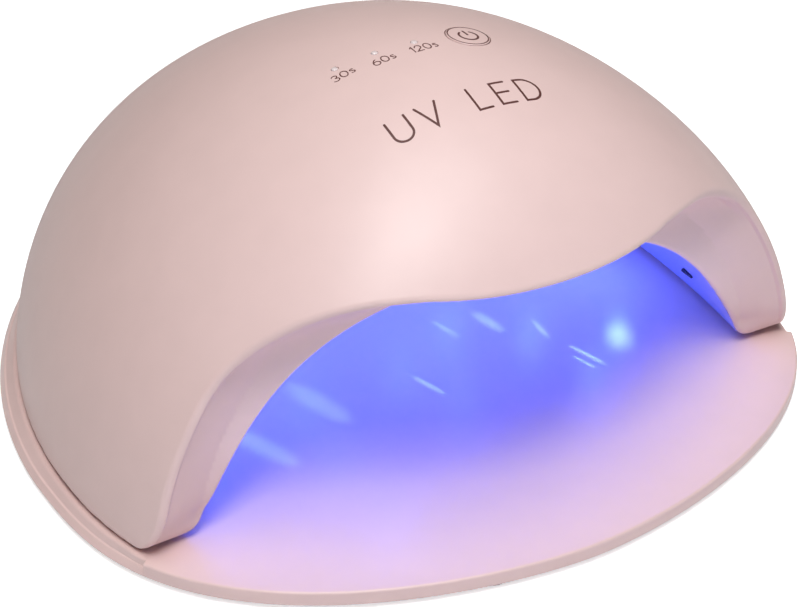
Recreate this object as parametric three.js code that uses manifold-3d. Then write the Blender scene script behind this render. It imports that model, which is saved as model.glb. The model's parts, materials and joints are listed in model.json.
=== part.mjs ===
// UV LED nail lamp: a domed shell with a hand opening, standing on a removable flat tray.
// Units are millimetres. +Z is up, the hand opening faces -Y, and the origin is the centre of
// the footprint on the table. The tray is one moving unit, the lamp lifts off it, and the
// power button slides into the shell along the shell's normal.
import * as THREE from "three";
import { mergeVertices } from "three/addons/utils/BufferGeometryUtils.js";
import Module from "manifold-3d";

const wasm = await Module();
wasm.setup();

// ---- Driving dimensions ----------------------------------------------------------------

const GAP = 0.3; // clearance between pieces that touch or fit each other

// Tray: a flat plate whose front is a crescent and whose sides and back are a stepped rim
const TRAY = {
  halfWidth: 107.3,
  widestY: -17.84,
  front: 93.62, // from widestY to the front edge
  rear: 129.3, // from widestY to the rear edge
  frontPowerX: 1.74,
  frontPowerY: 2.76,
  rearPower: 1.885,
  bottom: 1.2,
  stepTop: 3.6,
  top: 5.5,
};
const TABLE_FOOT = { radius: 4, height: 2.2, recess: 1.3 };
const TABLE_FEET = [
  [26, -103],
  [95, -20],
  [56, 78],
];

// Dome: superellipse in plan, longer to the rear than to the front, and rounded over the top
const DOME = {
  halfWidth: 103,
  centreY: -25.06,
  meanLength: 113.43, // half of the length from the front to the rear tip
  skew: 21.56, // how far the rear tip is pushed back and the front tip is held back
  height: 98.2,
  base: 6.5,
  planPower: 2.04,
  profilePower: 1.78,
  crownSoftness: 0.15, // rounds the very top
};
const SHELL = { bottom: 6, wall: 2.6 };

// Front cut: seen from the side it rises from the tray, leans back over a round corner
// and runs forward under the visor. The second, larger corner leaves the bezel's wall.
const FRONT = {
  footY: -56.6,
  faceY: -63.3,
  footRise: 13,
  cornerY: -85.5,
  cornerZ: 51.6,
  corner: 22.1,
  visorDropPerMm: 0.12,
  bezelBackY: -57.8,
  innerCornerRise: 24.7,
};

// Hand opening in the bezel: half of an arch, as a cubic Bezier curve in x and z
const ARCH = [
  [84.5, 6],
  [66, 40],
  [56, 57],
  [0, 56.5],
];

// Cavity: the arch, grown towards the middle and closed round at the back
const CAVITY = {
  frontY: -57,
  middleY: -5,
  halfWidth: 89.3,
  height: 60,
  frontReachX: 172,
  frontReachZ: 96,
  rearReach: 90,
  rearPower: 2.4,
  bottom: 7,
  wall: 1.6,
};

// LED strips: flexible boards bent over the cavity's lining, each with a row of LEDs
const STRIP = { offset: 2.7, thick: 1.2, width: 10, lowest: 20 };
// Each strip's place along Y, and its LEDs' places on the half arch; minus is the left side
const STRIPS = [
  { name: "front", y: -11, spots: [-0.19, -0.34, 1, 0.34, 0.19] },
  { name: "middle", y: 17, spots: [-0.36, -0.68, 1, 0.68, 0.36] },
  { name: "rear", y: 40, spots: [-0.5, -0.72, 1, 0.72, 0.5] },
];
const LED = { radius: 2.4, back: 1.7, proud: 1.0, hole: 2.8 };

// Bottom cover, its screws and the magnets that hold the lamp on its tray
const COVER = { bottom: 5.8, thick: 2.4 };
const SCREW = { head: 2.6, headHigh: 1, shaft: 1.1, length: 11, boss: 3, pilot: 1.4 };
const MAGNET = { radius: 4.1, thick: 2 };
const CATCH = { radius: 4.6, thick: 1 };
const SCREW_SPOTS = [
  [93.5, -28],
  [30, 91],
];
const MAGNET_SPOTS = [
  [93.6, -43],
  [56, 75],
];

// Control board under the crown, with the button above it
const BOARD = { centre: [-2, -26.5], size: [64, 36], bottom: 88, thick: 1.6 };
const BOARD_SCREW = { head: 2.2, headHigh: 1.2, shaft: 1, length: 8, boss: 2.8, pilot: 1.3 };
const BOARD_SCREW_SPOTS = [
  [-29, -38],
  [25, -14],
];
const BUTTON = {
  x: 13.8,
  y: -26.2,
  radius: 5.7,
  flange: 7.2,
  flangeThick: 0.9,
  flangeUnder: -2.8, // top of the flange, below the dome's surface
  proud: 0.2,
  stem: 1.8,
  stemLength: 8.2,
};
const TACT = { side: 6, high: 3.5, plunger: 1.7, plungerHigh: 1 };
const PROCESSOR = { x: -18, y: -36, size: [8, 8, 1.6] };
const CAPACITOR = { x: -8, y: -38, radius: 2.6, height: 5.5 };
const CONNECTOR = { x: 0, y: -12.5, size: [9, 7, 5] };
const INDICATOR_SIZE = [2.4, 1.6, 0.9];
const PIPE = { radius: 0.9, proud: 0.3, bottom: 91.1 };
const PIPE_SPOTS = [
  [-22, -21.5],
  [-11.5, -23],
  [-1, -24.5],
];

// Hand sensor in the right wall, and the power inlet at the back
const SENSOR = { y: -34.5, z: 15.5, slot: [5.2, 1.6], behind: 3.6, module: [5, 8, 6] };
const JACK = { z: 20, mouth: 3.9, bore: 2.9, pin: 1, depth: 9, setback: 3, body: [9, 11, 11] };
const LEAD_RADIUS = 1.4;
const LEAD_SIDES = 8;

// ---- Materials -------------------------------------------------------------------------

function finish(color, roughness, metalness) {
  return new THREE.MeshStandardMaterial({ color, roughness, metalness });
}
const PINK = finish(0xe6c6bf, 0.45, 0);
const PINK_TRAY = finish(0xeccbc6, 0.4, 0);
const WHITE = finish(0xf2f0f2, 0.3, 0);
const DARK = finish(0x3a2a28, 0.5, 0);
const RUBBER = finish(0xd8b7ae, 0.85, 0);
const STEEL = finish(0xb9bcc0, 0.3, 1);
const BOARD_GREEN = finish(0x1f6b45, 0.5, 0);
const STRIP_WHITE = finish(0xe9ebea, 0.5, 0);
const LENS = finish(0xdfe0ff, 0.15, 0);
const CHIP = finish(0x202124, 0.55, 0);
const CABLE = finish(0x2a2a2c, 0.6, 0);

// ---- Solids ----------------------------------------------------------------------------

const group = new THREE.Group();

function solid(geometry, matrix) {
  let g = geometry.index ? geometry.toNonIndexed() : geometry.clone();
  g.deleteAttribute("normal");
  g.deleteAttribute("uv");
  if (matrix) g.applyMatrix4(matrix);
  g = mergeVertices(g, 1e-4);
  const index = g.index.array;
  const kept = [];
  for (let i = 0; i < index.length; i += 3) {
    const [a, b, c] = [index[i], index[i + 1], index[i + 2]];
    if (a !== b && b !== c && c !== a) kept.push(a, b, c);
  }
  return new wasm.Manifold(
    new wasm.Mesh({
      numProp: 3,
      vertProperties: g.getAttribute("position").array,
      triVerts: new Uint32Array(kept),
    }),
  );
}

function add(name, shape, material) {
  const m = shape.getMesh();
  const geometry = new THREE.BufferGeometry();
  geometry.setAttribute("position", new THREE.BufferAttribute(m.vertProperties, 3));
  geometry.setIndex(new THREE.BufferAttribute(m.triVerts, 1));
  geometry.computeVertexNormals();
  const mesh = new THREE.Mesh(geometry, material);
  mesh.name = name;
  group.add(mesh);
}

// A solid through closed rings of points, all with the same count, from the first to the last
function loft(rings) {
  const n = rings[0].length;
  const points = rings.flat();
  const middle = (ring) =>
    ring.reduce((sum, p) => sum.add(p), new THREE.Vector3()).divideScalar(n);
  points.push(middle(rings[0]), middle(rings[rings.length - 1]));
  const last = (rings.length - 1) * n;
  const faces = [];
  for (let i = 0; i < n; i++) {
    const j = (i + 1) % n;
    for (let k = 0; k < last; k += n) {
      faces.push(k + i, k + j, k + n + j, k + i, k + n + j, k + n + i);
    }
    faces.push(points.length - 2, j, i, points.length - 1, last + i, last + j);
  }
  const geometry = new THREE.BufferGeometry().setFromPoints(points);
  geometry.setIndex(faces);
  const made = solid(geometry);
  if (made.volume() > 0) return made;
  for (let i = 0; i < faces.length; i += 3) {
    [faces[i + 1], faces[i + 2]] = [faces[i + 2], faces[i + 1]];
  }
  geometry.setIndex(faces);
  return solid(geometry);
}

function box(lowest, highest) {
  const size = highest.map((v, i) => v - lowest[i]);
  const g = new THREE.BoxGeometry(...size);
  return solid(g, new THREE.Matrix4().makeTranslation(...lowest.map((v, i) => v + size[i] / 2)));
}

// Turns the +Y axis of a lathe or cylinder to a direction, and puts its zero at a point
function placed(point, direction) {
  const turn = new THREE.Quaternion().setFromUnitVectors(new THREE.Vector3(0, 1, 0), direction);
  return new THREE.Matrix4().compose(point, turn, new THREE.Vector3(1, 1, 1));
}

const UP = new THREE.Vector3(0, 0, 1);

// A turned solid: profile points are [radius, height along the axis]
function turned(profile, sides, point, direction = UP) {
  const g = new THREE.LatheGeometry(profile.map((p) => new THREE.Vector2(...p)), sides);
  return solid(g, placed(point, direction));
}

function rod(radius, from, to, sides, point, direction = UP) {
  const profile = [
    [0, from],
    [radius, from],
    [radius, to],
    [0, to],
  ];
  return turned(profile, sides, point, direction);
}

// A prism along X from an outline in y and z
function prismX(outline, halfLength) {
  const shape = new THREE.Shape(outline.map(([y, z]) => new THREE.Vector2(y, z)));
  const g = new THREE.ExtrudeGeometry(shape, { depth: 2 * halfLength, bevelEnabled: false });
  const axes = new THREE.Matrix4().makeBasis(
    new THREE.Vector3(0, 1, 0),
    new THREE.Vector3(0, 0, 1),
    new THREE.Vector3(1, 0, 0),
  );
  return solid(g, axes.setPosition(-halfLength, 0, 0));
}

// A prism along Z from an outline in x and y
function prismZ(outline, low, high) {
  const shape = new THREE.Shape(outline.map((p) => new THREE.Vector2(...p)));
  const g = new THREE.ExtrudeGeometry(shape, { depth: high - low, bevelEnabled: false });
  return solid(g, new THREE.Matrix4().makeTranslation(0, 0, low));
}

function both(spots) {
  return spots.flatMap(([x, y]) => [
    [-x, y],
    [x, y],
  ]);
}

// ---- The dome's surface ----------------------------------------------------------------

// How far out a point of the plan lies, from 0 under the crown to 1 on the footprint;
// inset draws the dome inwards by the wall's thickness
function domeReach(x, y, inset) {
  const length = DOME.meanLength - inset;
  const root = Math.sqrt(Math.max(length ** 2 + 4 * DOME.skew * (y - DOME.centreY), 0));
  const along = (root - length) / (2 * DOME.skew);
  const across = x / (DOME.halfWidth - inset);
  const sum = Math.abs(across) ** DOME.planPower + Math.abs(along) ** DOME.planPower;
  return sum ** (1 / DOME.planPower);
}

function domeRise(reach) {
  const soft = DOME.crownSoftness;
  const power = (r2) => (r2 + soft ** 2) ** (DOME.profilePower / 2) - soft ** DOME.profilePower;
  const drop = power(reach ** 2) / power(1);
  return Math.max(1 - drop, 0) ** (1 / DOME.profilePower);
}

function domeHeight(x, y, inset = 0) {
  return DOME.base + (DOME.height - inset) * domeRise(domeReach(x, y, inset));
}

function domeNormal(x, y) {
  const step = 0.01;
  const slopeX = (domeHeight(x + step, y) - domeHeight(x - step, y)) / (2 * step);
  const slopeY = (domeHeight(x, y + step) - domeHeight(x, y - step)) / (2 * step);
  return new THREE.Vector3(-slopeX, -slopeY, 1).normalize();
}

// A point of the plan at a reach and a turn, with the front skewed short and the rear long
function domePlan(reach, turn, inset) {
  const c = Math.cos(turn);
  const s = Math.sin(turn);
  const p = DOME.planPower;
  const r = reach * (Math.abs(c) ** p + Math.abs(s) ** p) ** (-1 / p);
  const along = r * s;
  const y = DOME.centreY + (DOME.meanLength - inset) * along + DOME.skew * along ** 2;
  return [(DOME.halfWidth - inset) * r * c, y];
}

function domeSolid(inset, bottom, sides, levels) {
  const rings = [];
  const ring = (reach, z) => {
    const points = [];
    for (let i = 0; i < sides; i++) {
      const [x, y] = domePlan(reach, (i / sides) * 2 * Math.PI, inset);
      points.push(new THREE.Vector3(x, y, z));
    }
    rings.push(points);
  };
  ring(1, bottom);
  for (let k = 0; k < levels; k++) {
    const reach = Math.cos((k / levels) * (Math.PI / 2));
    ring(reach, DOME.base + (DOME.height - inset) * domeRise(reach));
  }
  return loft(rings);
}

// ---- The cavity's surface --------------------------------------------------------------

function archPoint(u) {
  const v = 1 - u;
  const w = [v ** 3, 3 * v * v * u, 3 * v * u * u, u ** 3];
  const sum = (axis) => ARCH.reduce((total, p, i) => total + p[axis] * w[i], 0);
  return [sum(0), sum(1)];
}

// Half-width and height of the cavity at a station along Y
function cavityScale(y) {
  const d = y - CAVITY.middleY;
  if (d < 0) {
    return [
      CAVITY.halfWidth * Math.sqrt(1 - (d / CAVITY.frontReachX) ** 2),
      CAVITY.height * Math.sqrt(1 - (d / CAVITY.frontReachZ) ** 2),
    ];
  }
  const s = Math.min(d / CAVITY.rearReach, 1);
  return [
    CAVITY.halfWidth * Math.sqrt(1 - s * s),
    CAVITY.height * (1 - s ** CAVITY.rearPower) ** (1 / CAVITY.rearPower),
  ];
}

// Point on the cavity: u runs from the wall's foot (0) to the ridge (1), minus u on the left
function cavityPoint(u, y, offset = 0) {
  const [ax, az] = archPoint(Math.abs(u));
  const [halfWidth, height] = cavityScale(y);
  const base = ARCH[0][1];
  const x = (ax / ARCH[0][0]) * (halfWidth + offset);
  const z = base + ((az - base) / (ARCH[3][1] - base)) * (height + offset);
  return new THREE.Vector3(u < 0 ? -x : x, y, z);
}

function cavityNormal(u, y) {
  const step = 0.01;
  const side = u < 0 ? -1 : 1;
  const t = Math.min(Math.abs(u), 1 - step);
  const along = cavityPoint(side * (t + step), y).sub(cavityPoint(side * (t - step), y));
  const back = cavityPoint(u, y + step).sub(cavityPoint(u, y - step));
  const out = along.cross(back).normalize();
  if (out.z < 0) out.negate();
  if (Math.abs(u) === 1) out.setX(0).normalize();
  return out;
}

function cavitySolid(offset, frontY, halfArchSteps, stations) {
  const rings = [];
  const bottom = ARCH[0][1] - 4;
  for (let k = 0; k <= stations; k++) {
    const turn = (k / stations) * (Math.PI / 2) * 0.985;
    const span = CAVITY.rearReach + offset;
    const y = k === 0 ? CAVITY.middleY : CAVITY.middleY + span * Math.sin(turn);
    const shrunk = CAVITY.middleY + CAVITY.rearReach * Math.sin(turn);
    rings.push(archRing(k === 0 ? y : shrunk, offset, y, halfArchSteps, bottom));
  }
  const frontStations = 4;
  for (let k = 1; k <= frontStations; k++) {
    const y = CAVITY.middleY + ((frontY - CAVITY.middleY) * k) / frontStations;
    rings.unshift(archRing(y, offset, y, halfArchSteps, bottom));
  }
  return loft(rings);
}

function archRing(scaleY, offset, y, halfArchSteps, bottom) {
  const ring = [];
  for (let i = 0; i <= 2 * halfArchSteps; i++) {
    const t = i / halfArchSteps - 1;
    const u = t < 0 ? -(1 + t) : 1 - t;
    const p = t < 0 ? cavityPoint(u === 0 ? -1e-9 : u, scaleY, offset) : cavityPoint(u, scaleY, offset);
    ring.push(new THREE.Vector3(p.x, y, p.z));
  }
  const left = ring[0];
  const right = ring[ring.length - 1];
  ring.push(new THREE.Vector3(right.x, y, bottom), new THREE.Vector3(left.x, y, bottom));
  return ring;
}

// ---- Tray ------------------------------------------------------------------------------

const TRAY_SIDES = 96;

// Distance from the tray's centre to an outline, where inside says if a point is within it
function reachOf(inside, turn) {
  let near = 0;
  let far = 200;
  for (let i = 0; i < 40; i++) {
    const r = (near + far) / 2;
    if (inside(r * Math.cos(turn), TRAY.widestY + r * Math.sin(turn))) near = r;
    else far = r;
  }
  return near;
}

function insideTray(x, y) {
  const across = Math.abs(x) / TRAY.halfWidth;
  const d = y - TRAY.widestY;
  if (d < 0) return across ** TRAY.frontPowerX + (-d / TRAY.front) ** TRAY.frontPowerY < 1;
  return across ** TRAY.rearPower + (d / TRAY.rear) ** TRAY.rearPower < 1;
}

// Rings of the tray: each level gives its height, and its radius from the outer outline
// and from the line round the dome's footprint
function trayLoft(levels) {
  const ledge = 0.8;
  const rings = levels.map(([z, radius]) => {
    const ring = [];
    for (let i = 0; i < TRAY_SIDES; i++) {
      const turn = (i / TRAY_SIDES) * 2 * Math.PI;
      const outer = reachOf(insideTray, turn);
      const dome = reachOf((x, y) => domeReach(x, y, -ledge) < 1, turn);
      const r = radius(outer, Math.min(dome, outer - 1));
      ring.push(new THREE.Vector3(r * Math.cos(turn), TRAY.widestY + r * Math.sin(turn), z));
    }
    return ring;
  });
  return loft(rings);
}

function trayTop() {
  const step = (outer, inner) => outer - Math.min(1.5, 0.7 * (outer - inner));
  const rim = trayLoft([
    [TRAY.bottom, (outer) => outer - 0.8],
    [TRAY.bottom + 0.7, (outer) => outer],
    [TRAY.stepTop - 0.25, (outer, inner) => step(outer, inner) + 0.15],
    [TRAY.stepTop, (outer, inner) => step(outer, inner) - 0.2],
    [TRAY.top - 0.2, (outer, inner) => inner + 0.15],
    [TRAY.top, (outer, inner) => inner - 0.1],
  ]);
  const plate = trayLoft([
    [TRAY.bottom, (outer) => outer - 0.8],
    [TRAY.bottom + 0.7, (outer) => outer],
    [TRAY.top - 0.9, (outer) => outer],
    [TRAY.top - 0.25, (outer) => outer - 0.4],
    [TRAY.top, (outer) => outer - 1.1],
  ]);
  // The crescent starts at the shell's front feet, with a mitre from each foot's corner
  const corner = 96;
  const wide = 130;
  const mitreSlope = 1.67;
  const far = FRONT.footY - mitreSlope * (wide - corner);
  const crescent = prismZ(
    [
      [-wide, far],
      [-corner, FRONT.footY],
      [corner, FRONT.footY],
      [wide, far],
      [wide, -wide],
      [-wide, -wide],
    ],
    -1,
    TRAY.top + 1,
  );
  return rim.add(plate.intersect(crescent));
}

function at(x, y, z) {
  return new THREE.Vector3(x, y, z);
}

function buildTray() {
  let tray = trayTop();
  const ceiling = TRAY.bottom + TABLE_FOOT.recess;
  for (const [x, y] of both(TABLE_FEET)) {
    tray = tray.subtract(rod(TABLE_FOOT.radius + GAP, -1, ceiling, 24, at(x, y, 0)));
  }
  const seat = TRAY.top - CATCH.thick - 2 * GAP;
  for (const [x, y] of both(MAGNET_SPOTS)) {
    tray = tray.subtract(rod(CATCH.radius + GAP, seat, TRAY.top + 1, 24, at(x, y, 0)));
  }
  add("base_tray", tray, PINK_TRAY);

  const r = TABLE_FOOT.radius;
  const footProfile = [
    [0, 0],
    [r - 0.5, 0],
    [r, 0.5],
    [r, TABLE_FOOT.height],
    [0, TABLE_FOOT.height],
  ];
  both(TABLE_FEET).forEach(([x, y], i) => {
    add(`rubber_foot_${i + 1}`, turned(footProfile, 24, at(x, y, 0)), RUBBER);
  });
  both(MAGNET_SPOTS).forEach(([x, y], i) => {
    const disc = rod(CATCH.radius, seat + GAP, seat + GAP + CATCH.thick, 20, at(x, y, 0));
    add(`catch_plate_${i + 1}`, disc, STEEL);
  });
}

// ---- Shell -----------------------------------------------------------------------------

// Side view of what the front cut takes away; the corner is a quarter of an ellipse
function frontOutline(footY, faceY, rise, drop) {
  const outline = [
    [-160, -5],
    [footY, -5],
    [footY, SHELL.bottom],
  ];
  const footSteps = 4;
  for (let i = 1; i <= footSteps; i++) {
    const turn = (i / footSteps) * (Math.PI / 2);
    const y = footY - (footY - faceY) * Math.sin(turn);
    outline.push([y, SHELL.bottom + FRONT.footRise * (1 - Math.cos(turn))]);
  }
  const cornerSteps = 8;
  for (let i = 0; i <= cornerSteps; i++) {
    const turn = (i / cornerSteps) * (Math.PI / 2);
    const y = FRONT.cornerY + (faceY - FRONT.cornerY) * Math.cos(turn);
    outline.push([y, FRONT.cornerZ + rise * Math.sin(turn)]);
  }
  const reach = 75;
  outline.push([FRONT.cornerY - reach, FRONT.cornerZ + rise - drop * reach]);
  return outline;
}

// What lies in front of the bezel wall's back, moved rearwards by a clearance
function wallBackCut(clear) {
  const footY = FRONT.footY + SHELL.wall + clear;
  const faceY = FRONT.bezelBackY + clear;
  return prismX(frontOutline(footY, faceY, FRONT.innerCornerRise, FRONT.visorDropPerMm), 130);
}

function archHole() {
  const outline = [];
  const steps = 12;
  for (let i = -steps; i <= steps; i++) {
    const [x, z] = archPoint(1 - Math.abs(i) / steps);
    outline.push([i < 0 ? -x : x, z]);
  }
  outline.unshift([outline[0][0], -5]);
  outline.push([outline[outline.length - 1][0], -5]);
  const shape = new THREE.Shape(outline.map((p) => new THREE.Vector2(...p)));
  const depth = 100;
  const g = new THREE.ExtrudeGeometry(shape, { depth, bevelEnabled: false });
  const turn = new THREE.Matrix4().makeRotationX(Math.PI / 2);
  const shift = new THREE.Matrix4().makeTranslation(0, FRONT.bezelBackY + 5, 0);
  return solid(g, shift.multiply(turn));
}

const BUTTON_TOP = at(BUTTON.x, BUTTON.y, domeHeight(BUTTON.x, BUTTON.y));
const BUTTON_AXIS = domeNormal(BUTTON.x, BUTTON.y);

// Where the dome's wall stands on the centre line at the height of the power inlet
function rearFaceY(z) {
  let near = 0;
  let far = 130;
  for (let i = 0; i < 40; i++) {
    const y = (near + far) / 2;
    if (domeReach(0, y, 0) < 1 && domeHeight(0, y) > z) near = y;
    else far = y;
  }
  return near;
}
const JACK_FACE_Y = rearFaceY(JACK.z);
const BACK = new THREE.Vector3(0, 1, 0);

const OUTER_SIDES = 88;
const INNER_SIDES = 64;

function buildShell() {
  const outer = domeSolid(0, SHELL.bottom, OUTER_SIDES, 18);
  const inner = domeSolid(SHELL.wall, SHELL.bottom - 5, INNER_SIDES, 12);
  const frontCut = prismX(
    frontOutline(FRONT.footY, FRONT.faceY, FRONT.corner, FRONT.visorDropPerMm),
    130,
  );
  let shell = outer.subtract(frontCut);
  shell = shell.subtract(inner.subtract(wallBackCut(0))).subtract(archHole());

  // Screw bosses stand down from the dome: four to the bottom cover, two to the board
  const bossBottom = COVER.bottom + COVER.thick + GAP;
  for (const [x, y] of both(SCREW_SPOTS)) {
    const boss = rod(SCREW.boss, bossBottom, 70, 16, at(x, y, 0)).intersect(outer);
    shell = shell.add(boss);
    shell = shell.subtract(rod(SCREW.pilot, bossBottom - 1, bossBottom + 11, 16, at(x, y, 0)));
  }
  const boardTop = BOARD.bottom + BOARD.thick;
  for (const [x, y] of BOARD_SCREW_SPOTS) {
    const boss = rod(BOARD_SCREW.boss, boardTop + GAP, 110, 16, at(x, y, 0)).intersect(outer);
    const pilot = rod(BOARD_SCREW.pilot, boardTop - 1, boardTop + 7.5, 16, at(x, y, 0));
    shell = shell.add(boss).subtract(pilot);
  }

  // Holes for the button, the light pipes and the power inlet
  shell = shell.subtract(rod(BUTTON.radius + GAP, -6, 3, 32, BUTTON_TOP, BUTTON_AXIS));
  const seat = BUTTON.flangeUnder + GAP;
  shell = shell.subtract(rod(BUTTON.flange + 2 * GAP, -9, seat, 32, BUTTON_TOP, BUTTON_AXIS));
  for (const [x, y] of PIPE_SPOTS) {
    shell = shell.subtract(rod(PIPE.radius + GAP, 92, 110, 12, at(x, y, 0)));
  }
  shell = shell.subtract(rod(JACK.mouth + GAP, -8, 5, 24, at(0, JACK_FACE_Y, JACK.z), BACK));
  add("outer_shell", shell, PINK);
}

// ---- Reflector lining, LED strips and LEDs ---------------------------------------------

const HALF_ARCH_STEPS = 12;
const CAVITY_STATIONS = 9;

function above(z) {
  return box([-140, -140, z], [140, 140, 140]);
}

function ledPlaces() {
  return STRIPS.flatMap(({ y, spots }) => spots.map((u) => ({ u, y })));
}

function buildLining() {
  const outer = cavitySolid(CAVITY.wall, CAVITY.frontY, HALF_ARCH_STEPS, CAVITY_STATIONS);
  const inner = cavitySolid(0, CAVITY.frontY - 3, HALF_ARCH_STEPS, CAVITY_STATIONS);
  let lining = outer.subtract(inner).intersect(above(CAVITY.bottom));
  for (const { u, y } of ledPlaces()) {
    lining = lining.subtract(rod(LED.hole, -4, 5, 12, cavityPoint(u, y), cavityNormal(u, y)));
  }
  lining = lining.subtract(sensorBox(GAP)).subtract(wallBackCut(GAP));
  add("reflector_lining", lining, WHITE);
}

function buildStrips() {
  const near = cavitySolid(STRIP.offset, CAVITY.frontY, HALF_ARCH_STEPS, CAVITY_STATIONS);
  const far = cavitySolid(
    STRIP.offset + STRIP.thick,
    CAVITY.frontY,
    HALF_ARCH_STEPS,
    CAVITY_STATIONS,
  );
  const skin = far.subtract(near);
  for (const { name, y } of STRIPS) {
    const slab = box(
      [-140, y - STRIP.width / 2, STRIP.lowest],
      [140, y + STRIP.width / 2, 140],
    );
    add(`led_strip_${name}`, skin.intersect(slab), STRIP_WHITE);
  }
}

function buildLeds() {
  const r = LED.radius;
  const profile = [
    [0, -LED.proud],
    [r * 0.5, -LED.proud * 0.85],
    [r * 0.85, -LED.proud * 0.45],
    [r, 0],
    [r, LED.back],
    [0, LED.back],
  ];
  ledPlaces().forEach(({ u, y }, i) => {
    const bead = turned(profile, 12, cavityPoint(u, y), cavityNormal(u, y));
    add(`uv_led_${i + 1}`, bead, LENS);
  });
}

// ---- Bottom cover, screws and magnets --------------------------------------------------

function buildBottom() {
  const inset = SHELL.wall + GAP;
  const outline = [];
  const sides = INNER_SIDES;
  for (let i = 0; i < sides; i++) outline.push(domePlan(1, (i / sides) * 2 * Math.PI, inset));
  const top = COVER.bottom + COVER.thick;
  let cover = prismZ(outline, COVER.bottom, top);
  const cavity = cavitySolid(
    CAVITY.wall + GAP,
    CAVITY.frontY,
    HALF_ARCH_STEPS,
    CAVITY_STATIONS,
  );
  const frontY = FRONT.footY + SHELL.wall + GAP;
  cover = cover.subtract(cavity).subtract(box([-140, -140, 0], [140, frontY, 20]));
  for (const [x, y] of both(SCREW_SPOTS)) {
    const seat = COVER.bottom + SCREW.headHigh + 2 * GAP;
    cover = cover.subtract(rod(SCREW.head + GAP, 0, seat, 20, at(x, y, 0)));
    cover = cover.subtract(rod(SCREW.shaft + GAP, 0, 20, 16, at(x, y, 0)));
  }
  add("bottom_cover", cover, PINK);

  const start = COVER.bottom + GAP;
  const screw = [
    [0, start],
    [SCREW.head, start],
    [SCREW.head, start + SCREW.headHigh],
    [SCREW.shaft, start + SCREW.headHigh],
    [SCREW.shaft, start + SCREW.length],
    [0, start + SCREW.length],
  ];
  both(SCREW_SPOTS).forEach(([x, y], i) => {
    add(`cover_screw_${i + 1}`, turned(screw, 16, at(x, y, 0)), STEEL);
  });
  both(MAGNET_SPOTS).forEach(([x, y], i) => {
    const disc = rod(MAGNET.radius, top + GAP, top + GAP + MAGNET.thick, 20, at(x, y, 0));
    add(`lamp_magnet_${i + 1}`, disc, STEEL);
  });
}

// ---- Control board, button and indicators ----------------------------------------------

function onBoard(x, y, size) {
  const low = BOARD.bottom + BOARD.thick + GAP;
  return box(
    [x - size[0] / 2, y - size[1] / 2, low],
    [x + size[0] / 2, y + size[1] / 2, low + size[2]],
  );
}

const STEM_END = BUTTON_TOP.clone().addScaledVector(BUTTON_AXIS, -BUTTON.stemLength);

function buildBoard() {
  const [cx, cy] = BOARD.centre;
  const [sx, sy] = BOARD.size;
  const top = BOARD.bottom + BOARD.thick;
  let board = box(
    [cx - sx / 2, cy - sy / 2, BOARD.bottom],
    [cx + sx / 2, cy + sy / 2, top],
  );
  for (const [x, y] of BOARD_SCREW_SPOTS) {
    board = board.subtract(rod(BOARD_SCREW.shaft + 2 * GAP, 80, 100, 16, at(x, y, 0)));
  }
  add("control_board", board, BOARD_GREEN);

  const start = BOARD.bottom - GAP - BOARD_SCREW.headHigh;
  const screw = [
    [0, start],
    [BOARD_SCREW.head, start],
    [BOARD_SCREW.head, start + BOARD_SCREW.headHigh],
    [BOARD_SCREW.shaft, start + BOARD_SCREW.headHigh],
    [BOARD_SCREW.shaft, start + BOARD_SCREW.length],
    [0, start + BOARD_SCREW.length],
  ];
  BOARD_SCREW_SPOTS.forEach(([x, y], i) => {
    add(`board_screw_${i + 1}`, turned(screw, 16, at(x, y, 0)), STEEL);
  });

  const low = top + GAP;
  const tactBody = onBoard(STEM_END.x, STEM_END.y, [TACT.side, TACT.side, TACT.high]);
  const plungerTop = low + TACT.high + TACT.plungerHigh;
  const plunger = rod(TACT.plunger, low + 1, plungerTop, 16, at(STEM_END.x, STEM_END.y, 0));
  add("tact_switch", tactBody.add(plunger), CHIP);
  add("processor_chip", onBoard(PROCESSOR.x, PROCESSOR.y, PROCESSOR.size), CHIP);
  const can = rod(CAPACITOR.radius, low, low + CAPACITOR.height, 20, at(CAPACITOR.x, CAPACITOR.y, 0));
  add("power_capacitor", can, STEEL);
  add("lead_connector", onBoard(CONNECTOR.x, CONNECTOR.y, CONNECTOR.size), WHITE);
  PIPE_SPOTS.forEach(([x, y], i) => {
    add(`indicator_led_${i + 1}`, onBoard(x, y, INDICATOR_SIZE), LENS);
  });
}

function buildButton() {
  const under = BUTTON.flangeUnder;
  const r = BUTTON.radius;
  const profile = [
    [0, -BUTTON.stemLength],
    [BUTTON.stem, -BUTTON.stemLength],
    [BUTTON.stem, under - BUTTON.flangeThick],
    [BUTTON.flange, under - BUTTON.flangeThick],
    [BUTTON.flange, under],
    [r, under],
    [r, 0],
    [r - 0.4, BUTTON.proud * 0.7],
    [0, BUTTON.proud],
  ];
  add("power_button", turned(profile, 32, BUTTON_TOP, BUTTON_AXIS), PINK);
}

function buildPipes() {
  PIPE_SPOTS.forEach(([x, y], i) => {
    const top = domeHeight(x, y) + PIPE.proud;
    const r = PIPE.radius;
    const profile = [
      [0, PIPE.bottom],
      [r, PIPE.bottom],
      [r, top - 0.25],
      [r - 0.3, top],
      [0, top],
    ];
    add(`indicator_pipe_${i + 1}`, turned(profile, 12, at(x, y, 0)), LENS);
  });
}

// ---- Hand sensor, power inlet and leads ------------------------------------------------

// Wall of the cavity at the sensor's height
function sensorWallX() {
  let low = 0;
  let high = 1;
  for (let i = 0; i < 40; i++) {
    const u = (low + high) / 2;
    if (cavityPoint(u, SENSOR.y).z < SENSOR.z) low = u;
    else high = u;
  }
  return cavityPoint(low, SENSOR.y).x;
}
const SENSOR_X = sensorWallX();

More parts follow.
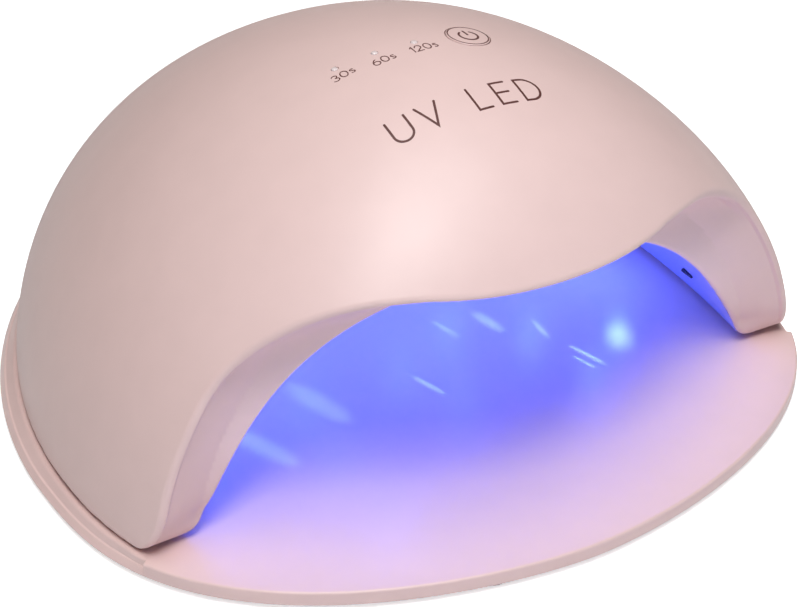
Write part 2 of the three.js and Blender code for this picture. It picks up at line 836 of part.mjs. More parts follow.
function sensorBox(grow) {
  const [long, high] = SENSOR.slot;
  const proud = 0.8;
  return box(
    [SENSOR_X - proud - 6 * grow, SENSOR.y - long / 2 - grow, SENSOR.z - high / 2 - grow],
    [SENSOR_X + 3 + 3 * grow, SENSOR.y + long / 2 + grow, SENSOR.z + high / 2 + grow],
  );
}

function buildSensor() {
  add("sensor_window", sensorBox(0), DARK);
  const [deep, long, high] = SENSOR.module;
  const near = SENSOR_X + SENSOR.behind;
  add(
    "sensor_module",
    box(
      [near, SENSOR.y - long / 2, SENSOR.z - high / 2],
      [near + deep, SENSOR.y + long / 2, SENSOR.z + high / 2],
    ),
    CHIP,
  );
}

const JACK_BODY_FRONT = JACK_FACE_Y - SHELL.wall - JACK.setback;

function buildJack() {
  const [wide, long, high] = JACK.body;
  const body = box(
    [-wide / 2, JACK_BODY_FRONT - long, JACK.z - high / 2],
    [wide / 2, JACK_BODY_FRONT, JACK.z + high / 2],
  );
  const mouth = at(0, JACK_FACE_Y, JACK.z);
  const joined = JACK.setback + 1;
  const barrel = rod(JACK.mouth, -SHELL.wall - joined, -0.2, 24, mouth, BACK);
  const bore = rod(JACK.bore, -JACK.depth, 1, 24, mouth, BACK);
  const pin = rod(JACK.pin, -JACK.depth - 1, -1.2, 12, mouth, BACK);
  add("power_inlet", body.add(barrel).subtract(bore).add(pin), DARK);
}

function lead(name, route) {
  const curve = new THREE.CatmullRomCurve3(route.map((p) => at(...p)), false, "centripetal");
  const section = new THREE.Shape();
  for (let i = 0; i < LEAD_SIDES; i++) {
    const turn = (i / LEAD_SIDES) * 2 * Math.PI;
    const corner = [LEAD_RADIUS * Math.cos(turn), LEAD_RADIUS * Math.sin(turn)];
    if (i === 0) section.moveTo(...corner);
    else section.lineTo(...corner);
  }
  section.closePath();
  const steps = 28;
  const g = new THREE.ExtrudeGeometry(section, { steps, extrudePath: curve, bevelEnabled: false });
  add(name, solid(g), CABLE);
}

function buildLeads() {
  const jackTop = JACK.z + JACK.body[2] / 2 + GAP;
  const jackY = JACK_BODY_FRONT - JACK.body[1] / 2;
  lead("power_lead", [
    [0, jackY, jackTop],
    [0, jackY, jackTop + 6],
    [0, 84, 46],
    [0, 72, 57],
    [0, 54, 69],
    [0, 34, 79],
    [0, 12, 88],
    [0, -2, 92],
    [CONNECTOR.x, CONNECTOR.y + CONNECTOR.size[1] / 2 + GAP, 92.4],
  ]);
  const moduleTop = SENSOR.z + SENSOR.module[2] / 2 + GAP;
  const moduleX = SENSOR_X + SENSOR.behind + SENSOR.module[0] / 2;
  const boardEdge = BOARD.centre[0] + BOARD.size[0] / 2;
  lead("sensor_lead", [
    [moduleX, SENSOR.y, moduleTop],
    [moduleX, SENSOR.y, moduleTop + 6],
    [81, SENSOR.y, 42],
    [71, SENSOR.y, 60],
    [56, -34, 75],
    [42, -32, 85],
    [boardEdge + 2 * GAP, -31, 88.8],
  ]);
}

buildTray();
buildShell();
buildLining();
buildStrips();
buildLeds();
buildBottom();
buildBoard();
buildButton();
buildPipes();
buildSensor();
buildJack();
buildLeads();

export default group;
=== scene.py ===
"""UV LED nail lamp: the looks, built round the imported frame.

Lengths are millimetres in the design's frame (+Z up, the hand opening faces -Y), and
new_object() turns them to metres. The shell is the zero level of a field, so that its lip,
dish and edges run into one another smoothly. The rest is lofted, turned or swept.
"""
import json
import math

import bmesh
import bpy
import numpy as np
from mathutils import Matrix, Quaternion, Vector


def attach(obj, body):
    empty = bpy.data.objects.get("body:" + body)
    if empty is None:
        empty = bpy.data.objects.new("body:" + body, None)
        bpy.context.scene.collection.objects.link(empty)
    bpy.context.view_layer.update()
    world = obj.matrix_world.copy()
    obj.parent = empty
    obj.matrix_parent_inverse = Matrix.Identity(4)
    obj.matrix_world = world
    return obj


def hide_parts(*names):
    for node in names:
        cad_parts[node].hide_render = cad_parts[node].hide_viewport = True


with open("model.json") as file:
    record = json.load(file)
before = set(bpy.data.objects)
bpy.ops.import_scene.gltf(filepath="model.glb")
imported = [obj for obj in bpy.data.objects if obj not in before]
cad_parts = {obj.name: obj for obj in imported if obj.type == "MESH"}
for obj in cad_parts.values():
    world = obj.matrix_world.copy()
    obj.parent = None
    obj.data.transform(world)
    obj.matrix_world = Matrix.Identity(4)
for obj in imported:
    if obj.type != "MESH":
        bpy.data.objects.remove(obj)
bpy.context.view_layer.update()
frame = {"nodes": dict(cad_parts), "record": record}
MM = 0.001

# ---- Sizes shared with the design ---------------------------------------------------------

GAP = 0.3

DOME_HALF_WIDTH = 103.0
DOME_CENTRE_Y = -25.06
DOME_LENGTH = 113.43
DOME_SKEW = 21.56
DOME_HEIGHT = 98.2
DOME_BASE = 6.5
PLAN_POWER = 2.04
PROFILE_POWER = 1.78
CROWN_SOFTNESS = 0.15
WALL = 2.6
SHELL_BOTTOM = 6.0

FACE_Y = -63.3
FACE_BACK_Y = -57.8
FOOT_Y = -56.6
FOOT_RISE = 13.0
CORNER_Y = -85.5
CORNER_Z = 51.6
CORNER_RISE = 22.1
INNER_CORNER_RISE = 24.7
VISOR_DROP = 0.12
ARCH = np.array([[84.5, 6.0], [66.0, 40.0], [56.0, 57.0], [0.0, 56.5]])

CAVITY_FRONT_Y = -57.0
CAVITY_MIDDLE_Y = -5.0
CAVITY_HALF_WIDTH = 89.3
CAVITY_HEIGHT = 60.0
CAVITY_FRONT_REACH = (172.0, 96.0)
CAVITY_REAR_REACH = 90.0
CAVITY_REAR_POWER = 2.4
CAVITY_BOTTOM = 7.0
LINING_WALL = 1.6
LED_RADIUS = 2.4
LED_BACK = 1.7
LED_PROUD = 1.0
LED_HOLE = 2.8
STRIPS = (  # y of each strip, and u of its LEDs as cavity_point() takes them
    (-11.0, (-0.19, -0.34, 1.0, 0.34, 0.19)),
    (17.0, (-0.36, -0.68, 1.0, 0.68, 0.36)),
    (40.0, (-0.5, -0.72, 1.0, 0.72, 0.5)),
)

TRAY_WIDEST_Y = -17.84
TRAY_HALF_WIDTH = 107.3
TRAY_FRONT = 93.62
TRAY_REAR = 129.3
TRAY_FRONT_POWERS = (1.74, 2.76)
TRAY_REAR_POWER = 1.885
TRAY_BOTTOM = 1.2
TRAY_STEP_TOP = 3.6
TRAY_TOP = 5.5
FOOTPRINT_LEDGE = 0.8
MITRE_X = 96.0
MITRE_SLOPE = 1.67

BUTTON_X, BUTTON_Y = 13.8, -26.2
BUTTON_RADIUS = 5.7
BUTTON_FLANGE = 7.2
BUTTON_STEM = 1.8
PIPE_SPOTS = ((-22.0, -21.5), (-11.5, -23.0), (-1.0, -24.5))
PIPE_RADIUS = 0.9
SENSOR_Y, SENSOR_Z = -34.5, 15.5
SENSOR_SLOT = (4.8, 0.9)
JACK_Z = 20.0
JACK_MOUTH = 3.9


# ---- Making meshes ------------------------------------------------------------------------

def new_object(name, points, faces):
    """An object from points in millimetres."""
    mesh = bpy.data.meshes.new(name)
    mesh.from_pydata((np.asarray(points, float) * MM).tolist(), [], [list(f) for f in faces])
    mesh.validate()
    made = bpy.data.objects.new(name, mesh)
    bpy.context.scene.collection.objects.link(made)
    return made


def settle(made, body, slot, stands_for=()):
    """Puts a finished piece on its body, with its finish and the nodes it stands for."""
    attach(made, body)
    if stands_for:
        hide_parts(*stands_for)
    made.data.materials.clear()
    made.data.materials.append(MATERIALS[slot])


def crisp(made, limit=32):
    """Smooth shading that keeps edges sharper than the limit, and keeps flat faces flat."""
    made.data.shade_smooth()
    made.data.set_sharp_from_angle(angle=math.radians(limit))
    weighted = made.modifiers.new("flat faces", "WEIGHTED_NORMAL")
    weighted.keep_sharp = True
    return made


def piece(name, shape, body, slot, stands_for=()):
    """A closed shape as a finished piece."""
    settle(crisp(new_object(name, *shape)), body, slot, stands_for)


def joined(*shapes):
    """Several closed shapes as one list of points and one of faces."""
    points, faces = [], []
    for some_points, some_faces in shapes:
        start = sum(len(p) for p in points)
        points.append(np.asarray(some_points, float))
        faces.extend(tuple(start + i for i in face) for face in some_faces)
    return np.concatenate(points), faces


def cut_away(made, shape):
    """Cuts a closed shape from an object."""
    tool = new_object("tool", *shape)
    change = made.modifiers.new("cut", "BOOLEAN")
    change.operation = "DIFFERENCE"
    change.solver = "EXACT"
    change.object = tool
    depsgraph = bpy.context.evaluated_depsgraph_get()
    result = bpy.data.meshes.new_from_object(made.evaluated_get(depsgraph))
    made.modifiers.clear()
    made.data = result
    bpy.data.objects.remove(tool)


def loft(rings):
    """Points and faces through closed rings of equal count, with a fan over each end."""
    count = len(rings[0])
    last = (len(rings) - 1) * count
    ends = [np.mean(rings[0], axis=0), np.mean(rings[-1], axis=0)]
    points = np.concatenate([np.asarray(r, float) for r in rings] + [ends])
    faces = []
    for i in range(count):
        j = (i + 1) % count
        for k in range(0, last, count):
            faces.append((k + i, k + j, k + count + j, k + count + i))
        faces.append((len(points) - 2, j, i))
        faces.append((len(points) - 1, last + i, last + j))
    return points, faces


def turned_outward(shape):
    """The same shape with its faces pointing out."""
    points, faces = shape
    volume = 0.0
    for face in faces:
        a = points[face[0]]
        for k in range(1, len(face) - 1):
            volume += np.dot(a, np.cross(points[face[k]], points[face[k + 1]]))
    return (points, faces) if volume > 0 else (points, [f[::-1] for f in faces])


MOST_CUT = 0.48  # of a side, by a rounded corner


def rounded(corners, steps=4):
    """Rounds a line's corners. Each corner is (points, rounding), where points is one
    (radius, height) or an array of them, and each gives an array of the same form."""
    out = []
    places = [np.array(np.broadcast_arrays(*c[:2]), float) for c in corners]
    for i, here in enumerate(places):
        rounding = corners[i][2]
        if np.all(np.asarray(rounding) <= 0) or i in (0, len(places) - 1):
            out.append(here)
            continue
        before = places[i - 1] - here
        after = places[i + 1] - here
        reach_before = np.linalg.norm(before, axis=0)
        reach_after = np.linalg.norm(after, axis=0)
        cut = np.minimum(rounding, MOST_CUT * np.minimum(reach_before, reach_after))
        start = here + before / reach_before * cut
        end = here + after / reach_after * cut
        for k in range(steps + 1):
            t = k / steps
            out.append(start * (1 - t) ** 2 + here * 2 * t * (1 - t) + end * t ** 2)
    return out


AXIS_RADIUS = 0.02  # a turned solid's ends have a small fan round the axis


def lathe(profile, sides, centre=(0, 0, 0), axis=(0, 0, 1)):
    """A turned solid. The profile is (radius, height, rounding) from axis to axis."""
    turn = np.array(Vector((0, 0, 1)).rotation_difference(Vector(axis)).to_matrix())
    angle = np.linspace(0, 2 * math.pi, sides, endpoint=False)
    rings = []
    for radius, height in rounded(profile):
        radius = max(radius, AXIS_RADIUS)
        local = np.stack([radius * np.cos(angle), radius * np.sin(angle),
                          np.full(sides, height)], 1)
        rings.append(local @ turn.T + np.asarray(centre, float))
    return turned_outward(loft(rings))


def rod(radius, low, high, sides, centre, axis=(0, 0, 1)):
    """A plain cylinder between two heights along its axis."""
    return lathe([(0, low, 0), (radius, low, 0), (radius, high, 0), (0, high, 0)],
                 sides, centre, axis)


def prism(outline, low, high, axis=2):
    """A prism along an axis from an outline in the other two, taken in the order x, y, z."""
    rings = []
    for level in (low, high):
        rings.append(np.insert(np.asarray(outline, float), axis, level, axis=1))
    count = len(outline)
    faces = [(i, (i + 1) % count, count + (i + 1) % count, count + i) for i in range(count)]
    faces += [tuple(range(count))[::-1], tuple(range(count, 2 * count))]
    return turned_outward((np.concatenate(rings), faces))


def soft_box(low, high, radius, steps=3):
    """A box with rounded upright edges and softened rims."""
    low, high = np.asarray(low, float), np.asarray(high, float)
    middle, half = (low + high) / 2, (high - low) / 2
    rings = []
    angle = np.linspace(0, math.pi / 2, steps + 1)
    levels = [(radius * (1 - math.sin(a)), low[2] + radius * (1 - math.cos(a)))
              for a in angle]
    levels += [(radius * (1 - math.cos(a)), high[2] - radius * (1 - math.sin(a)))
               for a in angle]
    for inset, z in levels:
        ring = []
        for k, (sx, sy) in enumerate(((1, 1), (-1, 1), (-1, -1), (1, -1))):
            for a in angle + k * math.pi / 2:
                ring.append((middle[0] + sx * (half[0] - radius) + (radius - inset) * math.cos(a),
                             middle[1] + sy * (half[1] - radius) + (radius - inset) * math.sin(a),
                             z))
        rings.append(ring)
    return turned_outward(loft(rings))


# ---- A surface from a field ---------------------------------------------------------------

TINY = 1e-9  # keeps a division by a length safe
LEAST_SLOPE = 0.3  # squared; below it a step onto the level is held back
LONGEST_MOVE = 0.3  # of a point in one step, in cells
EVENING_ROUNDS = 3
REFINED_MOVE = 0.3  # millimetres
REFINED_ROUNDS = 4


def field_and_slope(field, points, step=0.03):
    """A field's values at points, and its slope there by central differences."""
    slope = np.stack([
        (field(points + step * unit) - field(points - step * unit)) / (2 * step)
        for unit in np.eye(3)], -1)
    return field(points), slope


def unit_slope(field, points):
    """The way out of the surface at points."""
    slope = field_and_slope(field, points)[1]
    return slope / np.maximum(np.linalg.norm(slope, axis=1, keepdims=True), TINY)


def field_values(field, axes, cell):
    """The field on a grid: everywhere roughly, and truly near its zero level."""
    stride = 4
    band = 7 * cell
    rough_axes = [a[::stride] for a in axes]
    rough = field(np.stack(np.meshgrid(*rough_axes, indexing="ij"), -1))
    at = [np.minimum((np.arange(len(a)) + stride // 2) // stride, len(r) - 1)
          for a, r in zip(axes, rough_axes)]
    values = rough[np.ix_(*at)]
    near = np.argwhere(np.abs(values) < band)
    values[tuple(near.T)] = field(np.stack([a[i] for a, i in zip(axes, near.T)], 1))
    return values


def zero_surface(field, low, high, cell):
    """Quads over the zero level of a field. Each cell that the level crosses has one point,
    which starts amid the crossings and is moved onto the level along the slope."""
    axes = [np.arange(a, b + cell, cell) for a, b in zip(low, high)]
    values = field_values(field, axes, cell)
    inside = values < 0
    shape = tuple(n - 1 for n in inside.shape)
    filled = sum(
        inside[i:i + shape[0], j:j + shape[1], k:k + shape[2]].astype(int)
        for i in (0, 1) for j in (0, 1) for k in (0, 1))
    crossed = (filled > 0) & (filled < 8)
    number = np.full(shape, -1)
    number[crossed] = np.arange(crossed.sum())
    total = np.zeros((crossed.sum(), 3))
    count = np.zeros(crossed.sum())
    faces = []
    units = np.eye(3, dtype=int)
    for a in range(3):
        before = np.take(inside, range(inside.shape[a] - 1), axis=a)
        after = np.take(inside, range(1, inside.shape[a]), axis=a)
        step_b, step_c = units[(a + 1) % 3], units[(a + 2) % 3]
        for edge, flip in ((before & ~after, False), (~before & after, True)):
            at = np.argwhere(edge)
            start = values[tuple(at.T)]
            end = values[tuple((at + units[a]).T)]
            place = at + (start / (start - end))[:, None] * units[a]
            around = [at, at - step_b, at - step_b - step_c, at - step_c]
            quad = np.stack([number[tuple(q.T)] for q in around], 1)
            for corner in quad.T:
                np.add.at(total, corner, place)
                np.add.at(count, corner, 1)
            faces.append(quad[:, ::-1] if flip else quad)
    points = total / count[:, None] * cell + np.array([a[0] for a in axes])
    faces = np.concatenate(faces)
    furthest = LONGEST_MOVE * cell
    for _ in range(EVENING_ROUNDS):
        points = onto_level(field, points, furthest)
        points = evened(field, points, faces)
    return onto_level(field, points, furthest), faces


def onto_level(field, points, furthest, rounds=2):
    """Points moved onto the field's zero level, along its slope."""
    for _ in range(rounds):
        value, slope = field_and_slope(field, points)
        steepness = np.maximum((slope ** 2).sum(1), LEAST_SLOPE)
        step = value[:, None] * slope / steepness[:, None]
        length = np.linalg.norm(step, axis=1, keepdims=True)
        points = points - step * np.minimum(1, furthest / np.maximum(length, TINY))
    return points


def evened(field, points, faces):
    """Points moved halfway to the middle of their neighbours, along the surface alone."""
    near, far = faces.ravel(), np.roll(faces, -1, axis=1).ravel()
    count = np.bincount(near, minlength=len(points))
    middle = np.stack([np.bincount(near, points[far, k], len(points)) for k in range(3)], 1)
    move = middle / np.maximum(count, 1)[:, None] - points
    out = unit_slope(field, points)
    return points + (move - (move * out).sum(1, keepdims=True) * out) / 2


def refine(made, field, wanted, cuts):
    """Divides the faces where wanted(points) holds, and puts the new points on the level."""
    work = bmesh.new()
    work.from_mesh(made.data)
    places = np.array([v.co for v in work.verts]) / MM
    chosen = wanted(places)
    edges = [e for e in work.edges if all(chosen[v.index] for v in e.verts)]
    bmesh.ops.subdivide_edges(work, edges=edges, cuts=cuts, use_grid_fill=True)
    work.to_mesh(made.data)
    work.free()
    places = np.zeros(3 * len(made.data.vertices))
    made.data.vertices.foreach_get("co", places)
    places = onto_level(field, places.reshape(-1, 3) / MM, REFINED_MOVE, REFINED_ROUNDS)
    made.data.vertices.foreach_set("co", (places * MM).ravel())
    made.data.update()


def shade_from_field(mesh, field, agree=0.5):
    """Corner normals from the field's slope, and from the face where the two disagree."""
    points = np.zeros(3 * len(mesh.vertices))
    mesh.vertices.foreach_get("co", points)
    out = unit_slope(field, points.reshape(-1, 3) / MM)
    corner = np.zeros(len(mesh.loops), int)
    mesh.loops.foreach_get("vertex_index", corner)
    flat = np.zeros(3 * len(mesh.polygons))
    mesh.polygons.foreach_get("normal", flat)
    corners = np.zeros(len(mesh.polygons), int)
    mesh.polygons.foreach_get("loop_total", corners)
    flat = np.repeat(flat.reshape(-1, 3), corners, axis=0)
    normals = out[corner]
    odd = (normals * flat).sum(1) < agree
    normals[odd] = flat[odd]
    mesh.shade_smooth()
    mesh.normals_split_custom_set(normals.tolist())


def meet(a, b, radius):
    """Where two solids' fields overlap, with the corner between them rounded."""
    u = np.maximum(a + radius, 0)
    v = np.maximum(b + radius, 0)
    return np.minimum(-radius, np.maximum(a, b)) + np.hypot(u, v)


def smooth_step(value, low, high):
    """0 below low, 1 above high, and smooth between them."""
    t = np.clip((value - low) / (high - low), 0, 1)
    return t * t * (3 - 2 * t)


# ---- Finishes -----------------------------------------------------------------------------

MATERIALS = {}


def finish(slot, color, roughness, mottle=0.02, mottle_size=9.0, grain=0.4, depth=0.006,
           uneven=0.05, **sockets):
    """A moulded, metal or rubber finish: its colour and roughness drift a little over the
    surface, and a fine grain stands on it. Sizes are millimetres; the grain's depth too."""
    made = bpy.data.materials.new(slot)
    made.use_nodes = True
    nodes, links = made.node_tree.nodes, made.node_tree.links
    shader = nodes["Principled BSDF"]
    place = nodes.new("ShaderNodeTexCoord")

    def noise(size, detail):
        node = nodes.new("ShaderNodeTexNoise")
        node.inputs["Scale"].default_value = 1 / (size * MM)
        node.inputs["Detail"].default_value = detail
        links.new(place.outputs["Object"], node.inputs["Vector"])
        return node.outputs["Fac"]

    ramp = nodes.new("ShaderNodeValToRGB")
    for element, part in zip(ramp.color_ramp.elements, (1 - mottle, 1 + mottle)):
        element.color = tuple(min(c * part, 1) for c in color) + (1,)
    for element, position in zip(ramp.color_ramp.elements, (0.3, 0.7)):
        element.position = position
    links.new(noise(mottle_size, 3), ramp.inputs["Fac"])
    links.new(ramp.outputs["Color"], shader.inputs["Base Color"])

    drift = nodes.new("ShaderNodeMapRange")
    drift.inputs["To Min"].default_value = max(roughness - uneven, 0.02)
    drift.inputs["To Max"].default_value = min(roughness + uneven, 1)
    links.new(noise(mottle_size * 1.7, 2), drift.inputs["Value"])
    links.new(drift.outputs["Result"], shader.inputs["Roughness"])

    bump = nodes.new("ShaderNodeBump")
    bump.inputs["Strength"].default_value = 1
    bump.inputs["Distance"].default_value = depth * MM
    links.new(noise(grain, 2), bump.inputs["Height"])
    links.new(bump.outputs["Normal"], shader.inputs["Normal"])
    for socket, value in sockets.items():
        shader.inputs[socket.replace("_", " ")].default_value = value
    MATERIALS[slot] = made


PLASTIC = (0.80, 0.585, 0.55)
finish("shell_pink", PLASTIC, 0.42, mottle=0.012, grain=0.35, depth=0.004)
finish("tray_pink", PLASTIC, 0.3, mottle=0.012, grain=0.5, depth=0.003, uneven=0.03)
# The lining is white plastic; its colour here is tinted blue, painted light that stands in for
# the LEDs' blue light, which always falls on it.
finish("lining_white", (0.62, 0.64, 0.92), 0.3, mottle=0.01, grain=0.6, depth=0.004)
finish("strip_white", (0.86, 0.87, 0.86), 0.5, mottle=0.02)
finish("board_green", (0.02, 0.16, 0.07), 0.4, mottle=0.2, mottle_size=3)
finish("chip_black", (0.018, 0.018, 0.02), 0.5, mottle=0.2, mottle_size=2, grain=0.1)
finish("connector_white", (0.78, 0.76, 0.70), 0.45)
finish("dark_window", (0.03, 0.012, 0.03), 0.15, mottle=0.1)
finish("inlet_black", (0.012, 0.012, 0.014), 0.4, mottle=0.15, grain=0.2)
finish("cable_black", (0.01, 0.01, 0.01), 0.55, mottle=0.2, grain=0.5)
finish("foot_rubber", (0.42, 0.31, 0.29), 0.85, mottle=0.08, mottle_size=2, grain=0.25,
       depth=0.02)
finish("steel", (0.56, 0.57, 0.58), 0.32, mottle=0.06, mottle_size=1.5, grain=0.15, Metallic=1)
finish("magnet_nickel", (0.70, 0.70, 0.69), 0.16, mottle=0.03, mottle_size=2, grain=0.2,
       depth=0.002, Metallic=1)
finish("clear_pipe", (0.93, 0.80, 0.78), 0.15, mottle=0.02, depth=0.002,
       Transmission_Weight=0.15, IOR=1.49)
finish("led_lens", (0.55, 0.55, 1.0), 0.1, mottle=0.05, mottle_size=1, depth=0.001,
       Emission_Color=(0.3, 0.3, 1.0, 1), Emission_Strength=4.0)
finish("indicator", (0.85, 0.85, 0.80), 0.2, mottle=0.05, mottle_size=1, depth=0.001)
finish("ink_brown", (0.115, 0.038, 0.032), 0.5, mottle=0.12, mottle_size=0.6, grain=0.1,
       depth=0.002)


# ---- The shell ----------------------------------------------------------------------------

def dome_reach(x, y, inset=0.0):
    """How far out a point of the plan lies: 0 under the crown, 1 on the footprint."""
    length = DOME_LENGTH - inset
    root = np.sqrt(np.maximum(length ** 2 + 4 * DOME_SKEW * (y - DOME_CENTRE_Y), 0))
    along = np.abs(root - length) / (2 * DOME_SKEW)
    across = np.abs(x) / (DOME_HALF_WIDTH - inset)
    return (across ** PLAN_POWER + along ** PLAN_POWER) ** (1 / PLAN_POWER)


def dome_drop(reach):
    """0 under the crown, 1 at the footprint, more outside."""
    half = PROFILE_POWER / 2
    floor = CROWN_SOFTNESS ** PROFILE_POWER
    full = (1 + CROWN_SOFTNESS ** 2) ** half - floor
    return ((reach ** 2 + CROWN_SOFTNESS ** 2) ** half - floor) / full


def dome_height(x, y):
    """The dome's height over a point of the plan."""
    rest = np.maximum(1 - dome_drop(dome_reach(x, y)), 0)
    return DOME_BASE + DOME_HEIGHT * rest ** (1 / PROFILE_POWER)


def dome_normal(x, y, step=0.01):
    """The dome's outward direction over a point of the plan."""
    slope_x = (dome_height(x + step, y) - dome_height(x - step, y)) / (2 * step)
    slope_y = (dome_height(x, y + step) - dome_height(x, y - step)) / (2 * step)
    out = np.stack([-slope_x, -slope_y, np.ones_like(slope_x)], -1)
    return out / np.linalg.norm(out, axis=-1, keepdims=True)


def dome_field(p, inset=0.0):
    """About the distance outside the dome; negative inside."""
    def level(x, y, z):
        up = np.maximum(z - DOME_BASE, 0) / (DOME_HEIGHT - inset)
        return dome_drop(dome_reach(x, y, inset)) + up ** PROFILE_POWER - 1
    x, y, z = p[..., 0], p[..., 1], p[..., 2]
    h = 0.2  # half the span that the slope is taken over
    slope = np.sqrt(
        ((level(x + h, y, z) - level(x - h, y, z)) / (2 * h)) ** 2
        + ((level(x, y + h, z) - level(x, y - h, z)) / (2 * h)) ** 2
        + ((level(x, y, z + h) - level(x, y, z - h)) / (2 * h)) ** 2)
    least_slope = 0.004
    return level(x, y, z) / np.maximum(slope, least_slope)


def front_field(p, foot_y, face_y, rise):
    """How far a point lies in front of the face: a wall with a rounded foot, a quarter round
    that leans forward, and the underside of the visor."""
    y, z = p[..., 1], p[..., 2]
    steepest = 0.97  # share of the foot's quarter round that is used
    below = np.clip((SHELL_BOTTOM + FOOT_RISE - z) / FOOT_RISE, 0, steepest)
    curve = (1 - np.sqrt(1 - below ** 2)) / (1 - math.sqrt(1 - steepest ** 2))
    wall = face_y + (foot_y - face_y) * curve - y
    forward = y - CORNER_Y
    up = z - CORNER_Z
    reach = face_y - CORNER_Y
    round_part = reach * (1 - np.hypot(forward / reach, up / rise))
    visor = rise + VISOR_DROP * forward - up
    under_visor = np.where(up < 0, np.maximum(visor, wall), visor)
    return np.where(forward < 0, under_visor, np.where(up < 0, wall, round_part))


def bezier(t):
    """Half the arch of the hand opening: 0 at its foot and 1 over the middle."""
    t = np.asarray(t, float)[..., None]
    return ((1 - t) ** 3 * ARCH[0] + 3 * (1 - t) ** 2 * t * ARCH[1]
            + 3 * (1 - t) * t ** 2 * ARCH[2] + t ** 3 * ARCH[3])


ARCH_CURVE = bezier(np.linspace(1, 0, 200))
ARCH_FOOT_SLOPE = (ARCH[1, 1] - ARCH[0, 1]) / (ARCH[0, 0] - ARCH[1, 0])


def arch_field(p):
    """How far a point lies inside the arch of the hand opening."""
    def top(x):
        past = np.maximum(x - ARCH[0, 0], 0)
        return np.interp(x, ARCH_CURVE[:, 0], ARCH_CURVE[:, 1]) - ARCH_FOOT_SLOPE * past
    x, z = np.abs(p[..., 0]), p[..., 2]
    step = 0.5
    steep = (top(x + step) - top(x)) / step
    return (top(x) - z) / np.sqrt(1 + steep ** 2)


# The lip is a flat band and a small step into the dish; over the visor it is rounder and
# hangs lower. A pair is where a change starts and ends, in height or in from the band.
LIP_BAND = 1.5
LIP_ROUNDING = 1.2
VISOR_ROUNDING = 2.4
VISOR_ROUNDING_GROWS = (50, 66)
LIP_STEP = 0.5
LIP_STEP_GROWS = (0, 1.2)
LIP_HANG = 2.3
LIP_HANG_GROWS = (46, 66)
LIP_HANG_FADES = (1, 3.4)
DISH_SLOPE = 0.24
DISH_DEPTH = 3.6
DISH_GROWS = (6, 14)
DISH_FADES = (54, 66)
OPENING_Y, OPENING_REACH = -90, 80  # the arch cuts only this far from here
ARCH_EDGE = 1.3
INNER_FOOT_EDGE = 4.5
FOOT_EDGE = 0.9


def shell_field(p):
    """The shell: the dome, cut off by the dished front, hollow behind, open at the arch."""
    outer = dome_field(p)
    height = p[..., 2]
    face = front_field(p, FOOT_Y, FACE_Y, CORNER_RISE)
    past_band = -outer - LIP_BAND
    step = LIP_STEP * smooth_step(past_band, *LIP_STEP_GROWS)
    dish = np.clip(DISH_SLOPE * past_band + step, 0, DISH_DEPTH)
    dished = smooth_step(height, *DISH_GROWS) * (1 - smooth_step(height, *DISH_FADES))
    rim = 1 - smooth_step(past_band, *LIP_HANG_FADES)
    hang = LIP_HANG * rim * smooth_step(height, *LIP_HANG_GROWS)
    rounder = (VISOR_ROUNDING - LIP_ROUNDING) * smooth_step(height, *VISOR_ROUNDING_GROWS)
    body = meet(outer, face + dish * dished - hang, LIP_ROUNDING + rounder)
    hollow = np.maximum(
        dome_field(p, WALL), front_field(p, FOOT_Y + WALL, FACE_BACK_Y, INNER_CORNER_RISE))
    body = np.maximum(body, -hollow)
    opening = np.minimum(arch_field(p), OPENING_REACH - np.abs(p[..., 1] - OPENING_Y))
    inner_foot = meet(opening, SHELL_BOTTOM - height, INNER_FOOT_EDGE)
    body = meet(body, inner_foot, ARCH_EDGE)
    return meet(body, SHELL_BOTTOM - height, FOOT_EDGE)


def near_lip(p, reach=4.5):
    """Whether points lie on the lip or the arch's edge, where the surface bends most."""
    face = np.abs(front_field(p, FOOT_Y, FACE_Y, CORNER_RISE))
    lip = (np.abs(dome_field(p)) < reach) & (face < reach + 1)
    arch = (np.abs(arch_field(p)) < reach / 2) & (face < 2 * reach)
    return lip | arch


BUTTON_AXIS = dome_normal(np.array(BUTTON_X), np.array(BUTTON_Y))
BUTTON_TOP = np.array([BUTTON_X, BUTTON_Y, float(dome_height(BUTTON_X, BUTTON_Y))])


def rear_face_y(z):
    """Where the dome's rear stands on the centre line at a height."""
    ys = np.linspace(60, 115, 5501)  # from inside the dome to behind it
    return float(ys[dome_height(0.0, ys) > z].max())


JACK_FACE_Y = rear_face_y(JACK_Z)
SHELL_LOW, SHELL_HIGH = (-106, -97, 3), (106, 113, 108)  # a box round the whole shell
PIPE_CLEARANCE = 0.08


def make_shell():
    cell = 1.0
    made = new_object("shell", *zero_surface(shell_field, SHELL_LOW, SHELL_HIGH, cell))
    refine(made, shell_field, near_lip, 2)
    holes = [rod(BUTTON_RADIUS + GAP, -6, 3, 96, BUTTON_TOP, BUTTON_AXIS),
             rod(JACK_MOUTH + GAP, -8, 5, 64, (0, JACK_FACE_Y, JACK_Z), (0, 1, 0))]
    holes += [rod(PIPE_RADIUS + PIPE_CLEARANCE, 92, 110, 32, (x, y, 0))
              for x, y in PIPE_SPOTS]
    cut_away(made, joined(*holes))
    shade_from_field(made.data, shell_field)
    settle(made, "lamp", "shell_pink", ["outer_shell"])


# ---- The cavity's lining and its LEDs ------------------------------------------------------

def cavity_scale(y):
    """The cavity's half-width and height at a station."""
    d = y - CAVITY_MIDDLE_Y
    if d < 0:
        wide, high = (math.sqrt(1 - (d / reach) ** 2) for reach in CAVITY_FRONT_REACH)
        return CAVITY_HALF_WIDTH * wide, CAVITY_HEIGHT * high
    s = min(d / CAVITY_REAR_REACH, 1)
    power = CAVITY_REAR_POWER
    return (CAVITY_HALF_WIDTH * math.sqrt(1 - s * s),
            CAVITY_HEIGHT * (1 - s ** power) ** (1 / power))


